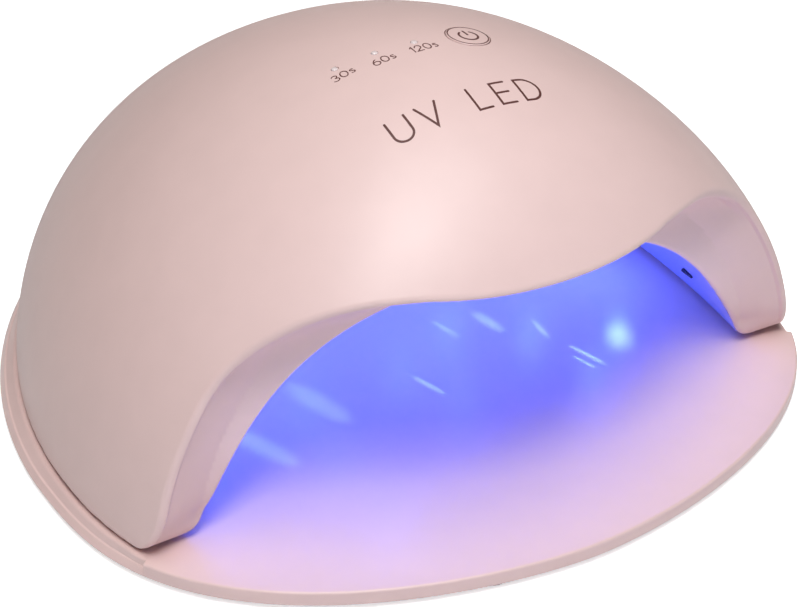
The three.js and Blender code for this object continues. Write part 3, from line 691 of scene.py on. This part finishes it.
def cavity_point(u, y, offset=0.0):
    """Point on the cavity: u is 0 at the wall's foot and 1 on the ridge, minus on the left."""
    ax, az = bezier(abs(u))
    half_width, height = cavity_scale(y)
    base, top = ARCH[0, 1], ARCH[3, 1]
    x = ax / ARCH[0, 0] * (half_width + offset)
    z = base + (az - base) / (top - base) * (height + offset)
    return np.array([math.copysign(x, u), y, z])


def cavity_normal(u, y, step=0.01):
    """The cavity's outward direction, away from the hand."""
    t = math.copysign(min(abs(u), 1 - step), u)
    along = cavity_point(t + step, y) - cavity_point(t - step, y)
    back = cavity_point(u, y + step) - cavity_point(u, y - step)
    out = np.cross(along, back)
    if abs(u) == 1:
        out[0] = 0
    out /= np.linalg.norm(out)
    return out if out[2] > 0 else -out


CAVITY_FLOOR_DEPTH = 4  # how far the cavity's solid goes under the arch's foot
FRONT_STATIONS, REAR_STATIONS = 16, 30
LAST_TURN = 0.985 * math.pi / 2  # the rear closes just short of a point


def cavity_solid(offset, front_y, half_steps=40):
    """The cavity grown by an offset, closed under the floor and round at the back."""
    bottom = ARCH[0, 1] - CAVITY_FLOOR_DEPTH
    us = np.linspace(0, 1, half_steps + 1)
    stations = [(y, y) for y in np.linspace(front_y, CAVITY_MIDDLE_Y, FRONT_STATIONS,
                                            endpoint=False)]
    for turn in np.linspace(0, LAST_TURN, REAR_STATIONS):
        y = CAVITY_MIDDLE_Y + CAVITY_REAR_REACH * math.sin(turn)
        stations.append((y, y + offset * math.sin(turn)))
    rings = []
    for scale_y, y in stations:
        half = [cavity_point(u, scale_y, offset) for u in us]
        ring = [(-p[0], y, p[2]) for p in half] + [(p[0], y, p[2]) for p in half[-2::-1]]
        ring += [(half[0][0], y, bottom), (-half[0][0], y, bottom)]
        rings.append(ring)
    return turned_outward(loft(rings))


def led_places():
    return [(u, y) for y, spots in STRIPS for u in spots]


def sensor_x():
    """Where the cavity's right wall stands at the sensor."""
    us = np.linspace(0, 1, 2001)
    heights = np.array([cavity_point(u, SENSOR_Y)[2] for u in us])
    return float(cavity_point(us[np.searchsorted(heights, SENSOR_Z)], SENSOR_Y)[0])


SENSOR_X = sensor_x()


SENSOR_PROUD, SENSOR_DEPTH = 0.8, 3
SENSOR_CLEARANCE = 0.15
SENSOR_ROUNDING = 0.3


def sensor_box(grow):
    """The sensor's window or, grown, its hole, which reaches further into the cavity."""
    long, high = SENSOR_SLOT
    inward = SENSOR_PROUD + 6 * grow
    low = (SENSOR_X - inward, SENSOR_Y - long / 2 - grow, SENSOR_Z - high / 2 - grow)
    top = (SENSOR_X + SENSOR_DEPTH - grow, SENSOR_Y + long / 2 + grow,
           SENSOR_Z + high / 2 + grow)
    return low, top


def behind_face_cut(clear):
    """What lies in front of the bezel's back, in y and z, moved rearwards by a clearance."""
    foot_y, face_y = FOOT_Y + WALL + clear, FACE_BACK_Y + clear
    outline = [(-160, -5), (foot_y, -5), (foot_y, SHELL_BOTTOM)]
    for turn in np.linspace(0, math.pi / 2, 13)[1:]:
        outline.append((foot_y - (foot_y - face_y) * math.sin(turn),
                        SHELL_BOTTOM + FOOT_RISE * (1 - math.cos(turn))))
    for turn in np.linspace(0, math.pi / 2, 17):
        outline.append((CORNER_Y + (face_y - CORNER_Y) * math.cos(turn),
                        CORNER_Z + INNER_CORNER_RISE * math.sin(turn)))
    reach = 75
    outline.append((CORNER_Y - reach, CORNER_Z + INNER_CORNER_RISE - VISOR_DROP * reach))
    return prism(outline, -130, 130, axis=0)


def make_lining():
    made = new_object("cavity_lining", *cavity_solid(LINING_WALL, CAVITY_FRONT_Y))
    cut_away(made, cavity_solid(0, CAVITY_FRONT_Y - 3))
    cut_away(made, behind_face_cut(GAP))
    cut_away(made, prism([(-140, -140), (140, -140), (140, 140), (-140, 140)],
                         -10, CAVITY_BOTTOM))
    holes = [rod(LED_HOLE, -4, 5, 40, cavity_point(u, y), cavity_normal(u, y))
             for u, y in led_places()]
    cut_away(made, joined(*holes, soft_box(*sensor_box(SENSOR_CLEARANCE), SENSOR_ROUNDING)))
    settle(crisp(made, 40), "lamp", "lining_white", ["reflector_lining"])


def make_leds():
    r = LED_RADIUS
    profile = [
        (0, -LED_PROUD, 0), (r * 0.45, -LED_PROUD, 0.8), (r * 0.82, -LED_PROUD * 0.5, 0.6),
        (r * 0.86, 0.1, 0.1), (r, 0.1, 0.15), (r, LED_BACK, 0.2), (0, LED_BACK, 0)]
    for i, (u, y) in enumerate(led_places()):
        shape = lathe(profile, 32, cavity_point(u, y), cavity_normal(u, y))
        piece(f"led_bead_{i + 1}", shape, "lamp", "led_lens", [f"uv_led_{i + 1}"])


def make_sensor():
    piece("sensor_lens", soft_box(*sensor_box(0), SENSOR_ROUNDING), "lamp", "dark_window",
          ["sensor_window"])


# ---- The tray -----------------------------------------------------------------------------

FEET = [(sign * x, y) for x, y in ((26, -103), (95, -20), (56, 78)) for sign in (-1, 1)]
FOOT_RADIUS, FOOT_HEIGHT, FOOT_RECESS = 4.0, 2.2, 1.3
MAGNETS = [(sign * x, y) for x, y in ((93.6, -43), (56, 75)) for sign in (-1, 1)]
MAGNET_RADIUS, MAGNET_LOW, MAGNET_THICK = 4.1, 8.5, 2.0
CATCH_RADIUS, CATCH_THICK = 4.6, 1.0
SCREWS = [(sign * x, y) for x, y in ((93.5, -28), (30, 91)) for sign in (-1, 1)]
SCREW_LOW, SCREW_LENGTH = 6.1, 11.0


MITRE_BLEND = 0.3
RIM_STEP, RIM_SHELF = 1.4, 0.5


def inside_tray(x, y):
    across = np.abs(x) / TRAY_HALF_WIDTH
    d = y - TRAY_WIDEST_Y
    front = (across ** TRAY_FRONT_POWERS[0]
             + (np.maximum(-d, 0) / TRAY_FRONT) ** TRAY_FRONT_POWERS[1])
    rear = across ** TRAY_REAR_POWER + (np.maximum(d, 0) / TRAY_REAR) ** TRAY_REAR_POWER
    return np.where(d < 0, front, rear) < 1


def inside_footprint(x, y):
    return dome_reach(x, y, -FOOTPRINT_LEDGE) < 1


def reach_of(inside, turns):
    """Distance from the tray's centre to an outline, at each turn."""
    near, far = np.zeros_like(turns), np.full_like(turns, 200.0)
    for _ in range(40):
        middle = (near + far) / 2
        within = inside(middle * np.cos(turns), TRAY_WIDEST_Y + middle * np.sin(turns))
        near, far = np.where(within, middle, near), np.where(within, far, middle)
    return near


def tray_turns():
    """Turns round the tray, close together where the rim meets the crescent's mitres."""
    coarse = np.arange(0, 360, 0.75)
    fine = np.concatenate([np.arange(-28, -19, 0.08), np.arange(199, 208, 0.08)]) % 360
    apart = np.array([np.abs(fine - c).min() > 0.3 for c in coarse])
    return np.radians(np.sort(np.concatenate([coarse[apart], fine])))


def front_share(radius, turns):
    """1 on the crescent in front of the mitres and 0 behind them, along one ring."""
    x, y = np.abs(radius * np.cos(turns)), TRAY_WIDEST_Y + radius * np.sin(turns)
    mitre_y = FOOT_Y - MITRE_SLOPE * np.maximum(x - MITRE_X, 0)
    return smooth_step(mitre_y - y, -MITRE_BLEND, MITRE_BLEND)


def tray_solid():
    """The tray: a stepped rim behind, a plain crescent in front, one flat top."""
    turns = tray_turns()
    outer = reach_of(inside_tray, turns)
    inner = np.minimum(reach_of(inside_footprint, turns), outer - 1)
    room = outer - inner
    step = outer - np.minimum(RIM_STEP, 0.6 * room)
    shelf = step - np.minimum(RIM_SHELF, 0.15 * room)
    rim = [(outer, TRAY_BOTTOM + 0.6, 0.5), (step, TRAY_STEP_TOP, 0.35),
           (shelf, TRAY_STEP_TOP + 0.05, 0.3), (inner + 0.2, TRAY_TOP, 0.6),
           (inner - 2, TRAY_TOP, 0)]
    crescent = [(outer, TRAY_BOTTOM + 0.6, 0.5), (outer, 3.0, 0.3), (outer, 4.0, 0.3),
                (outer, TRAY_TOP, 1.5), (outer - 3.5, TRAY_TOP, 0)]
    corners = [(outer - 8, TRAY_BOTTOM, 0), (outer - 0.6, TRAY_BOTTOM, 0.4)]
    for behind, ahead in zip(rim, crescent):
        share = front_share(behind[0], turns)
        corners.append([b + (a - b) * share for a, b in zip(ahead, behind)])
    corners.append((outer - 9, TRAY_TOP, 0))
    rings = [np.stack([radius * np.cos(turns), TRAY_WIDEST_Y + radius * np.sin(turns),
                       height], 1) for radius, height in rounded(corners, 5)]
    return turned_outward(loft(rings))


def make_tray():
    made = new_object("tray_body", *tray_solid())
    seat = TRAY_TOP - CATCH_THICK - 2 * GAP
    holes = [rod(FOOT_RADIUS + GAP, -1, TRAY_BOTTOM + FOOT_RECESS, 48, (x, y, 0))
             for x, y in FEET]
    holes += [rod(CATCH_RADIUS + GAP, seat, TRAY_TOP + 1, 48, (x, y, 0)) for x, y in MAGNETS]
    cut_away(made, joined(*holes))
    settle(crisp(made, 28), "tray", "tray_pink", ["base_tray"])
    for i, (x, y) in enumerate(FEET):
        profile = [(0, 0, 0), (FOOT_RADIUS, 0, 0.7), (FOOT_RADIUS, FOOT_HEIGHT, 0.2),
                   (0, FOOT_HEIGHT, 0)]
        piece(f"foot_pad_{i + 1}", lathe(profile, 40, (x, y, 0)), "tray", "foot_rubber",
              [f"rubber_foot_{i + 1}"])
    for i, (x, y) in enumerate(MAGNETS):
        disc = [(0, 0, 0), (CATCH_RADIUS, 0, 0.15), (CATCH_RADIUS, CATCH_THICK, 0.25),
                (0, CATCH_THICK, 0)]
        piece(f"steel_disc_{i + 1}", lathe(disc, 48, (x, y, seat + GAP)), "tray", "steel",
              [f"catch_plate_{i + 1}"])


def make_underside():
    """The screws and magnets that show, or nearly show, under the lamp."""
    for i, (x, y) in enumerate(SCREWS):
        profile = [(0, 0, 0), (2.6, 0, 0.35), (2.6, 1, 0.1), (1.1, 1, 0.1),
                   (1.1, SCREW_LENGTH, 0.3), (0, SCREW_LENGTH, 0)]
        made = new_object(f"cross_screw_{i + 1}", *lathe(profile, 40, (x, y, SCREW_LOW)))
        arm, half = 1.4, 0.33
        cross = [(half, half), (arm, half), (arm, -half), (half, -half), (half, -arm),
                 (-half, -arm), (-half, -half), (-arm, -half), (-arm, half), (-half, half),
                 (-half, arm), (half, arm)]
        outline = [(x + dx, y + dy) for dx, dy in cross]
        cut_away(made, prism(outline, SCREW_LOW - 1, SCREW_LOW + 0.7))
        settle(crisp(made), "lamp", "steel", [f"cover_screw_{i + 1}"])
    for i, (x, y) in enumerate(MAGNETS):
        disc = [(0, 0, 0), (MAGNET_RADIUS, 0, 0.25), (MAGNET_RADIUS, MAGNET_THICK, 0.25),
                (0, MAGNET_THICK, 0)]
        piece(f"disc_magnet_{i + 1}", lathe(disc, 48, (x, y, MAGNET_LOW)), "lamp",
              "magnet_nickel", [f"lamp_magnet_{i + 1}"])


# ---- Button, indicators and power inlet ----------------------------------------------------

BUTTON_CROWN = 0.2
STEM_LOW, FLANGE_LOW, FLANGE_TOP = -8.2, -3.7, -2.8  # along the button's axis
PIPE_LOW = 91.1


def make_button():
    r = BUTTON_RADIUS
    profile = [(0, STEM_LOW, 0), (BUTTON_STEM, STEM_LOW, 0.3), (BUTTON_STEM, FLANGE_LOW, 0.2),
               (BUTTON_FLANGE, FLANGE_LOW, 0.2), (BUTTON_FLANGE, FLANGE_TOP, 0.2),
               (r, FLANGE_TOP, 0.1),
               (r, 0.02, 0.25), (r * 0.5, 0.75 * BUTTON_CROWN, 2), (0, BUTTON_CROWN, 0)]
    piece("button_cap", lathe(profile, 96, BUTTON_TOP, BUTTON_AXIS), "power_button",
          "shell_pink", ["power_button"])


def make_pipes():
    for i, (x, y) in enumerate(PIPE_SPOTS):
        top = float(dome_height(x, y)) + GAP
        profile = [(0, PIPE_LOW, 0), (PIPE_RADIUS, PIPE_LOW, 0.1),
                   (PIPE_RADIUS, top - 0.1, 0.4), (0, top, 0)]
        piece(f"pipe_tip_{i + 1}", lathe(profile, 32, (x, y, 0)), "lamp", "clear_pipe",
              [f"indicator_pipe_{i + 1}"])


def make_inlet():
    mouth = (0, JACK_FACE_Y, JACK_Z)
    back = -9.0
    profile = [(0, back - 0.6, 0), (JACK_MOUTH, back - 0.6, 0.2), (JACK_MOUTH, -0.2, 0.4),
               (2.9, -0.2, 0.3), (2.9, back, 0.1), (1.0, back, 0.1), (1.0, -1.2, 0.5),
               (0, -1.2, 0)]
    front = JACK_FACE_Y - WALL - 3
    body = soft_box((-4.5, front - 11, JACK_Z - 5.5), (4.5, front, JACK_Z + 5.5), 0.6)
    piece("power_socket", joined(lathe(profile, 64, mouth, (0, 1, 0)), body), "lamp",
          "inlet_black", ["power_inlet"])


# ---- Printed marks ------------------------------------------------------------------------

def arc(cx, cy, rx, ry, start, end):
    """Points along an elliptic arc; angles are degrees."""
    count = max(3, round(abs(end - start) / 12))
    angle = np.radians(np.linspace(start, end, count + 1))
    return list(zip(cx + rx * np.cos(angle), cy + ry * np.sin(angle)))


# Each character is its strokes, one high, and its width
STROKES = {
    "0": ([arc(0.34, 0.5, 0.34, 0.5, 90, 450)], 0.68),
    "1": ([[(0, 0.8), (0.2, 1), (0.2, 0)]], 0.24),
    "2": ([arc(0.31, 0.7, 0.3, 0.3, 170, -42) + [(0, 0), (0.64, 0)]], 0.64),
    "3": ([arc(0.28, 0.76, 0.25, 0.24, 150, -88), arc(0.28, 0.26, 0.3, 0.26, 88, -150)], 0.6),
    "6": ([arc(0.32, 0.31, 0.32, 0.31, 0, 360), arc(0.66, 0.31, 0.66, 0.7, 112, 178)], 0.64),
    "s": ([arc(0.2, 0.5, 0.17, 0.13, 40, 265) + arc(0.2, 0.17, 0.19, 0.16, 85, -140)], 0.42),
    "U": ([[(0, 1)] + arc(0.35, 0.35, 0.35, 0.35, 180, 360) + [(0.7, 1)]], 0.7),
    "V": ([[(0, 1), (0.38, 0), (0.76, 1)]], 0.76),
    "L": ([[(0, 1), (0, 0), (0.5, 0)]], 0.5),
    "E": ([[(0.54, 1), (0, 1), (0, 0), (0.54, 0)], [(0.08, 0.52), (0.5, 0.52)]], 0.54),
    "D": ([[(0, 0)] + [(0, 1)] + arc(0.24, 0.5, 0.48, 0.5, 90, -90) + [(0, 0)]], 0.72),
    " ": ([], 0.4),
}
INK_TOP, INK_SUNK = 0.05, 0.1


def finer(path, longest):
    """The same path with its long stretches divided, so that it can follow a curved skin."""
    out = [path[:1]]
    for a, b in zip(path[:-1], path[1:]):
        count = math.ceil(np.linalg.norm(b - a) / longest)
        out.append(a + (b - a) * np.linspace(0, 1, count + 1)[1:, None])
    return np.concatenate(out)


def ribbon(path, width, place):
    """A thin slab along a flat path; place turns (u, v, height) into a point."""
    path = finer(np.asarray(path, float), 0.8)
    ring = np.allclose(path[0], path[-1])
    half = np.full(len(path), width / 2)
    if ring:
        path, half = path[:-1], half[:-1]
        ahead, behind = np.roll(path, -1, axis=0), np.roll(path, 1, axis=0)
    else:
        start = path[0] - path[1]
        end = path[-1] - path[-2]
        start /= np.linalg.norm(start)
        end /= np.linalg.norm(end)
        tips = ((0.95, 0.3), (0.6, 0.8))
        path = np.concatenate([[path[0] + start * width / 2 * out for out, _ in tips], path,
                               [path[-1] + end * width / 2 * out for out, _ in tips[::-1]]])
        half = np.concatenate([[width / 2 * part for _, part in tips], half,
                               [width / 2 * part for _, part in tips[::-1]]])
        ahead = np.concatenate([path[1:], [2 * path[-1] - path[-2]]])
        behind = np.concatenate([[2 * path[0] - path[1]], path[:-1]])
    to, fro = ahead - path, path - behind
    to /= np.linalg.norm(to, axis=1, keepdims=True)
    fro /= np.linalg.norm(fro, axis=1, keepdims=True)
    along = to + fro
    along /= np.maximum(np.linalg.norm(along, axis=1, keepdims=True), 1e-6)
    side = np.stack([-along[:, 1], along[:, 0]], 1)
    mitre = half / np.maximum(np.abs((along * to).sum(1)), 0.35)
    left, right = path + side * mitre[:, None], path - side * mitre[:, None]
    rings = [[place(*a, -INK_SUNK), place(*b, -INK_SUNK), place(*b, INK_TOP),
              place(*a, INK_TOP)] for a, b in zip(left, right)]
    if not ring:
        return turned_outward(loft(rings))
    count = len(rings)
    faces = [(4 * k + i, 4 * k + (i + 1) % 4, 4 * ((k + 1) % count) + (i + 1) % 4,
              4 * ((k + 1) % count) + i) for k in range(count) for i in range(4)]
    return turned_outward((np.concatenate([np.asarray(r, float) for r in rings]), faces))


def on_dome(x0, y0):
    """Lays (u, v) on the dome round a point, with v uphill and its length kept."""
    flat = float(dome_normal(np.array(x0), np.array(y0))[2])

    def place(u, v, height):
        x, y = x0 + u, y0 + v * flat
        out = dome_normal(np.array(x), np.array(y))
        return np.array([x, y, float(dome_height(x, y))]) + height * out
    return place


def lettering(text, height, width, spacing, place):
    """Stroked characters centred on the place's origin."""
    total = sum(STROKES[c][1] * height for c in text) + spacing * (len(text) - 1)
    pen = -total / 2
    shapes = []
    for character in text:
        strokes, wide = STROKES[character]
        for stroke in strokes:
            path = [(pen + u * height, (v - 0.5) * height) for u, v in stroke]
            shapes.append(ribbon(path, width, place))
        pen += wide * height + spacing
    return shapes


# Each label and where its middle lies on the dome's plan
TIMER_LABELS = (("30s", -21.8, -25.3), ("60s", -11.3, -27.2), ("120s", -0.2, -27.9))
TYPE_LABEL = ("UV LED", -2.5, -51.3)


def make_marks():
    shapes = []
    for text, x, y in TIMER_LABELS:
        shapes += lettering(text, height=2.7, width=0.3, spacing=0.65, place=on_dome(x, y))
    piece("timer_marks", joined(*shapes), "lamp", "ink_brown")
    text, x, y = TYPE_LABEL
    shapes = lettering(text, height=7.4, width=0.62, spacing=3.0, place=on_dome(x, y))
    piece("type_mark", joined(*shapes), "lamp", "ink_brown")

    across = np.array([1.0, 0, 0]) - BUTTON_AXIS[0] * BUTTON_AXIS
    across /= np.linalg.norm(across)
    up = np.cross(BUTTON_AXIS, across)

    def on_button(u, v, height):
        lift = BUTTON_CROWN * (1 - (math.hypot(u, v) / BUTTON_RADIUS) ** 2)
        return BUTTON_TOP + u * across + v * up + (lift + height) * BUTTON_AXIS
    icon = [ribbon(arc(0, 0, 5.3, 5.3, 0, 360), 0.32, on_button),
            ribbon(arc(0, -0.2, 2.5, 2.5, 125, 415), 0.55, on_button),
            ribbon([(0, 0.2), (0, 2.6)], 0.55, on_button)]
    piece("power_mark", joined(*icon), "power_button", "ink_brown")


# ---- Floor, light and camera ----------------------------------------------------------------

TARGET = Vector((0, -16.3, 35)) * MM
CAMERA_AZIMUTH, CAMERA_ELEVATION = -30.96, 31.65
CAMERA_DISTANCE = 0.6445  # metres
CAMERA_LENS = 108.81
CAMERA_SHIFT = (-0.0005, -0.0486)
FLOOR_HALF = 4000
FLOOR_SHADE = 0.9
FLOOR_GLOW = 0.6  # only as the camera sees the floor; it lights nothing


def direction(azimuth, elevation):
    """From the target towards a place; azimuth 0 is the front and grows to the right."""
    a, e = math.radians(azimuth), math.radians(elevation)
    return Vector((math.sin(a) * math.cos(e), -math.cos(a) * math.cos(e), math.sin(e)))


def make_camera():
    data = bpy.data.cameras.new("camera")
    made = bpy.data.objects.new("camera", data)
    bpy.context.scene.collection.objects.link(made)
    back = direction(CAMERA_AZIMUTH, CAMERA_ELEVATION)
    made.location = TARGET + back * CAMERA_DISTANCE
    made.rotation_mode = "QUATERNION"
    made.rotation_quaternion = (-back).to_track_quat("-Z", "Y")
    data.lens = CAMERA_LENS
    data.shift_x, data.shift_y = CAMERA_SHIFT
    bpy.context.scene.camera = made


def make_floor():
    half = FLOOR_HALF
    made = new_object("floor", [(-half, -half, 0), (half, -half, 0), (half, half, 0),
                                (-half, half, 0)], [(0, 1, 2, 3)])
    material = bpy.data.materials.new("pale_floor")
    material.use_nodes = True
    nodes, links = material.node_tree.nodes, material.node_tree.links
    shader = nodes["Principled BSDF"]
    shader.inputs["Base Color"].default_value = (FLOOR_SHADE,) * 3 + (1,)
    shader.inputs["Roughness"].default_value = 0.9
    shader.inputs["Emission Color"].default_value = (1, 1, 1, 1)
    glow = nodes.new("ShaderNodeMapRange")
    glow.inputs["To Max"].default_value = FLOOR_GLOW
    links.new(nodes.new("ShaderNodeLightPath").outputs["Is Camera Ray"], glow.inputs["Value"])
    links.new(glow.outputs["Result"], shader.inputs["Emission Strength"])
    made.data.materials.append(material)


SKY = 0.04
SOFT_LIGHTS = (
    # name, azimuth, elevation, distance (m), size (m), power (W), colour
    ("key", -34, 62, 1.3, 0.5, 6.6, (1, 1, 1)),
    ("overhead", 0, 80, 1.3, 0.9, 10.3, (1, 1, 1)),
    ("low", -14, 12, 1.3, 0.9, 2.7, (0.6, 0.7, 1)),
)
LED_COLOR = (0.045, 0.12, 1.0)
LED_POWER = 0.0098
LED_LIGHT_GAP = 0.4  # each LED's light hangs this far in front of its lens
# The streaks of light on the tray: their places, lengths and turns were measured on the
# photograph, projected onto the tray and rounded. They don't follow from the design.
BEAMS = (
    # x and y on the tray, length and width (mm), turn (degrees), spread (degrees), power (W)
    (57.0, -39.0, 12.0, 2.0, -31, 42, 0.00020),
    (44.3, -42.0, 13.0, 0.7, 14, 8, 0.00004),
    (41.5, -44.0, 9.0, 0.5, 14, 8, 0.00002),
    (-0.6, -32.0, 12.0, 0.8, 14, 10, 0.00003),
    (17.8, -11.0, 11.0, 0.8, 12, 10, 0.00002),
    (30.0, -14.0, 12.0, 3.0, 8, 16, 0.00006),
    (40.5, -24.5, 10.0, 0.8, -8, 10, 0.000025),
    (83.0, -27.5, 6.0, 1.2, -7, 12, 0.00003),
    (-30.0, -24.0, 24.0, 6.0, 14, 24, 0.00012),
    (-52.0, -34.0, 24.0, 6.0, 18, 24, 0.00014),
)
BEAM_COLOR = (0.3, 0.72, 1.0)
BEAM_HEIGHT = 14.0
# A long low light in front of the opening, for the bezel
SPILL_PLACE = (0, -104, 9)
SPILL_SIZE = (10, 150)
SPILL_AIM = (0, 0.9, 0.436)
SPILL_SPREAD = 50
SPILL_POWER = 0.008
SPILL_COLOR = (0.45, 0.57, 1.0)


def light(name, place, towards, size, power, color, spread=180, long=None):
    """A soft area light, round or, with a length, oval."""
    data = bpy.data.lights.new(name, "AREA")
    data.shape = "ELLIPSE"
    data.size = size
    data.size_y = long or size
    data.spread = math.radians(spread)
    data.energy = power
    data.color = color
    made = bpy.data.objects.new(name, data)
    made.location = place
    made.rotation_mode = "QUATERNION"
    made.rotation_quaternion = Vector(towards).to_track_quat("-Z", "Y")
    made.visible_camera = False
    bpy.context.scene.collection.objects.link(made)
    return made


def make_lights():
    world = bpy.data.worlds.new("studio")
    bpy.context.scene.world = world
    world.use_nodes = True
    sky = world.node_tree.nodes["Background"]
    sky.inputs["Color"].default_value = (1, 1, 1, 1)
    sky.inputs["Strength"].default_value = SKY
    for name, azimuth, elevation, distance, size, power, color in SOFT_LIGHTS:
        towards = direction(azimuth, elevation)
        light(name, TARGET + towards * distance, -towards, size, power, color)
    for i, (u, y) in enumerate(led_places()):
        inward = Vector(-cavity_normal(u, y))
        place = Vector(cavity_point(u, y)) * MM + inward * (LED_PROUD + LED_LIGHT_GAP) * MM
        light(f"led_{i + 1}", place, inward, 2 * LED_RADIUS * MM, LED_POWER, LED_COLOR)
    for i, (x, y, long, wide, turn, spread, power) in enumerate(BEAMS):
        place = Vector((x, y, TRAY_TOP + BEAM_HEIGHT)) * MM
        beam = light(f"beam_{i + 1}", place, (0, 0, -1), wide * MM, power, BEAM_COLOR,
                     spread, long * MM)
        beam.visible_glossy = False
        beam.rotation_quaternion = Quaternion((0, 0, 1), math.radians(turn))
    across, wide = SPILL_SIZE
    spill = light("spill", Vector(SPILL_PLACE) * MM, SPILL_AIM, wide * MM, SPILL_POWER,
                  SPILL_COLOR, SPILL_SPREAD, across * MM)
    spill.visible_glossy = False


def finish_frame_nodes():
    """The frame's nodes that still show take the finish of their slot."""
    for part in frame["record"]["subparts"]:
        node = frame["nodes"][part["node"]]
        node.data.materials.clear()
        slot = part["material_slot"]
        is_indicator = part["node"].startswith("indicator_led")
        node.data.materials.append(MATERIALS["indicator" if is_indicator else slot])


finish_frame_nodes()
make_shell()
make_lining()
make_leds()
make_sensor()
make_tray()
make_underside()
make_button()
make_pipes()
make_inlet()
make_marks()
make_floor()
make_lights()
make_camera()
bpy.context.scene.view_settings.view_transform = "Standard"
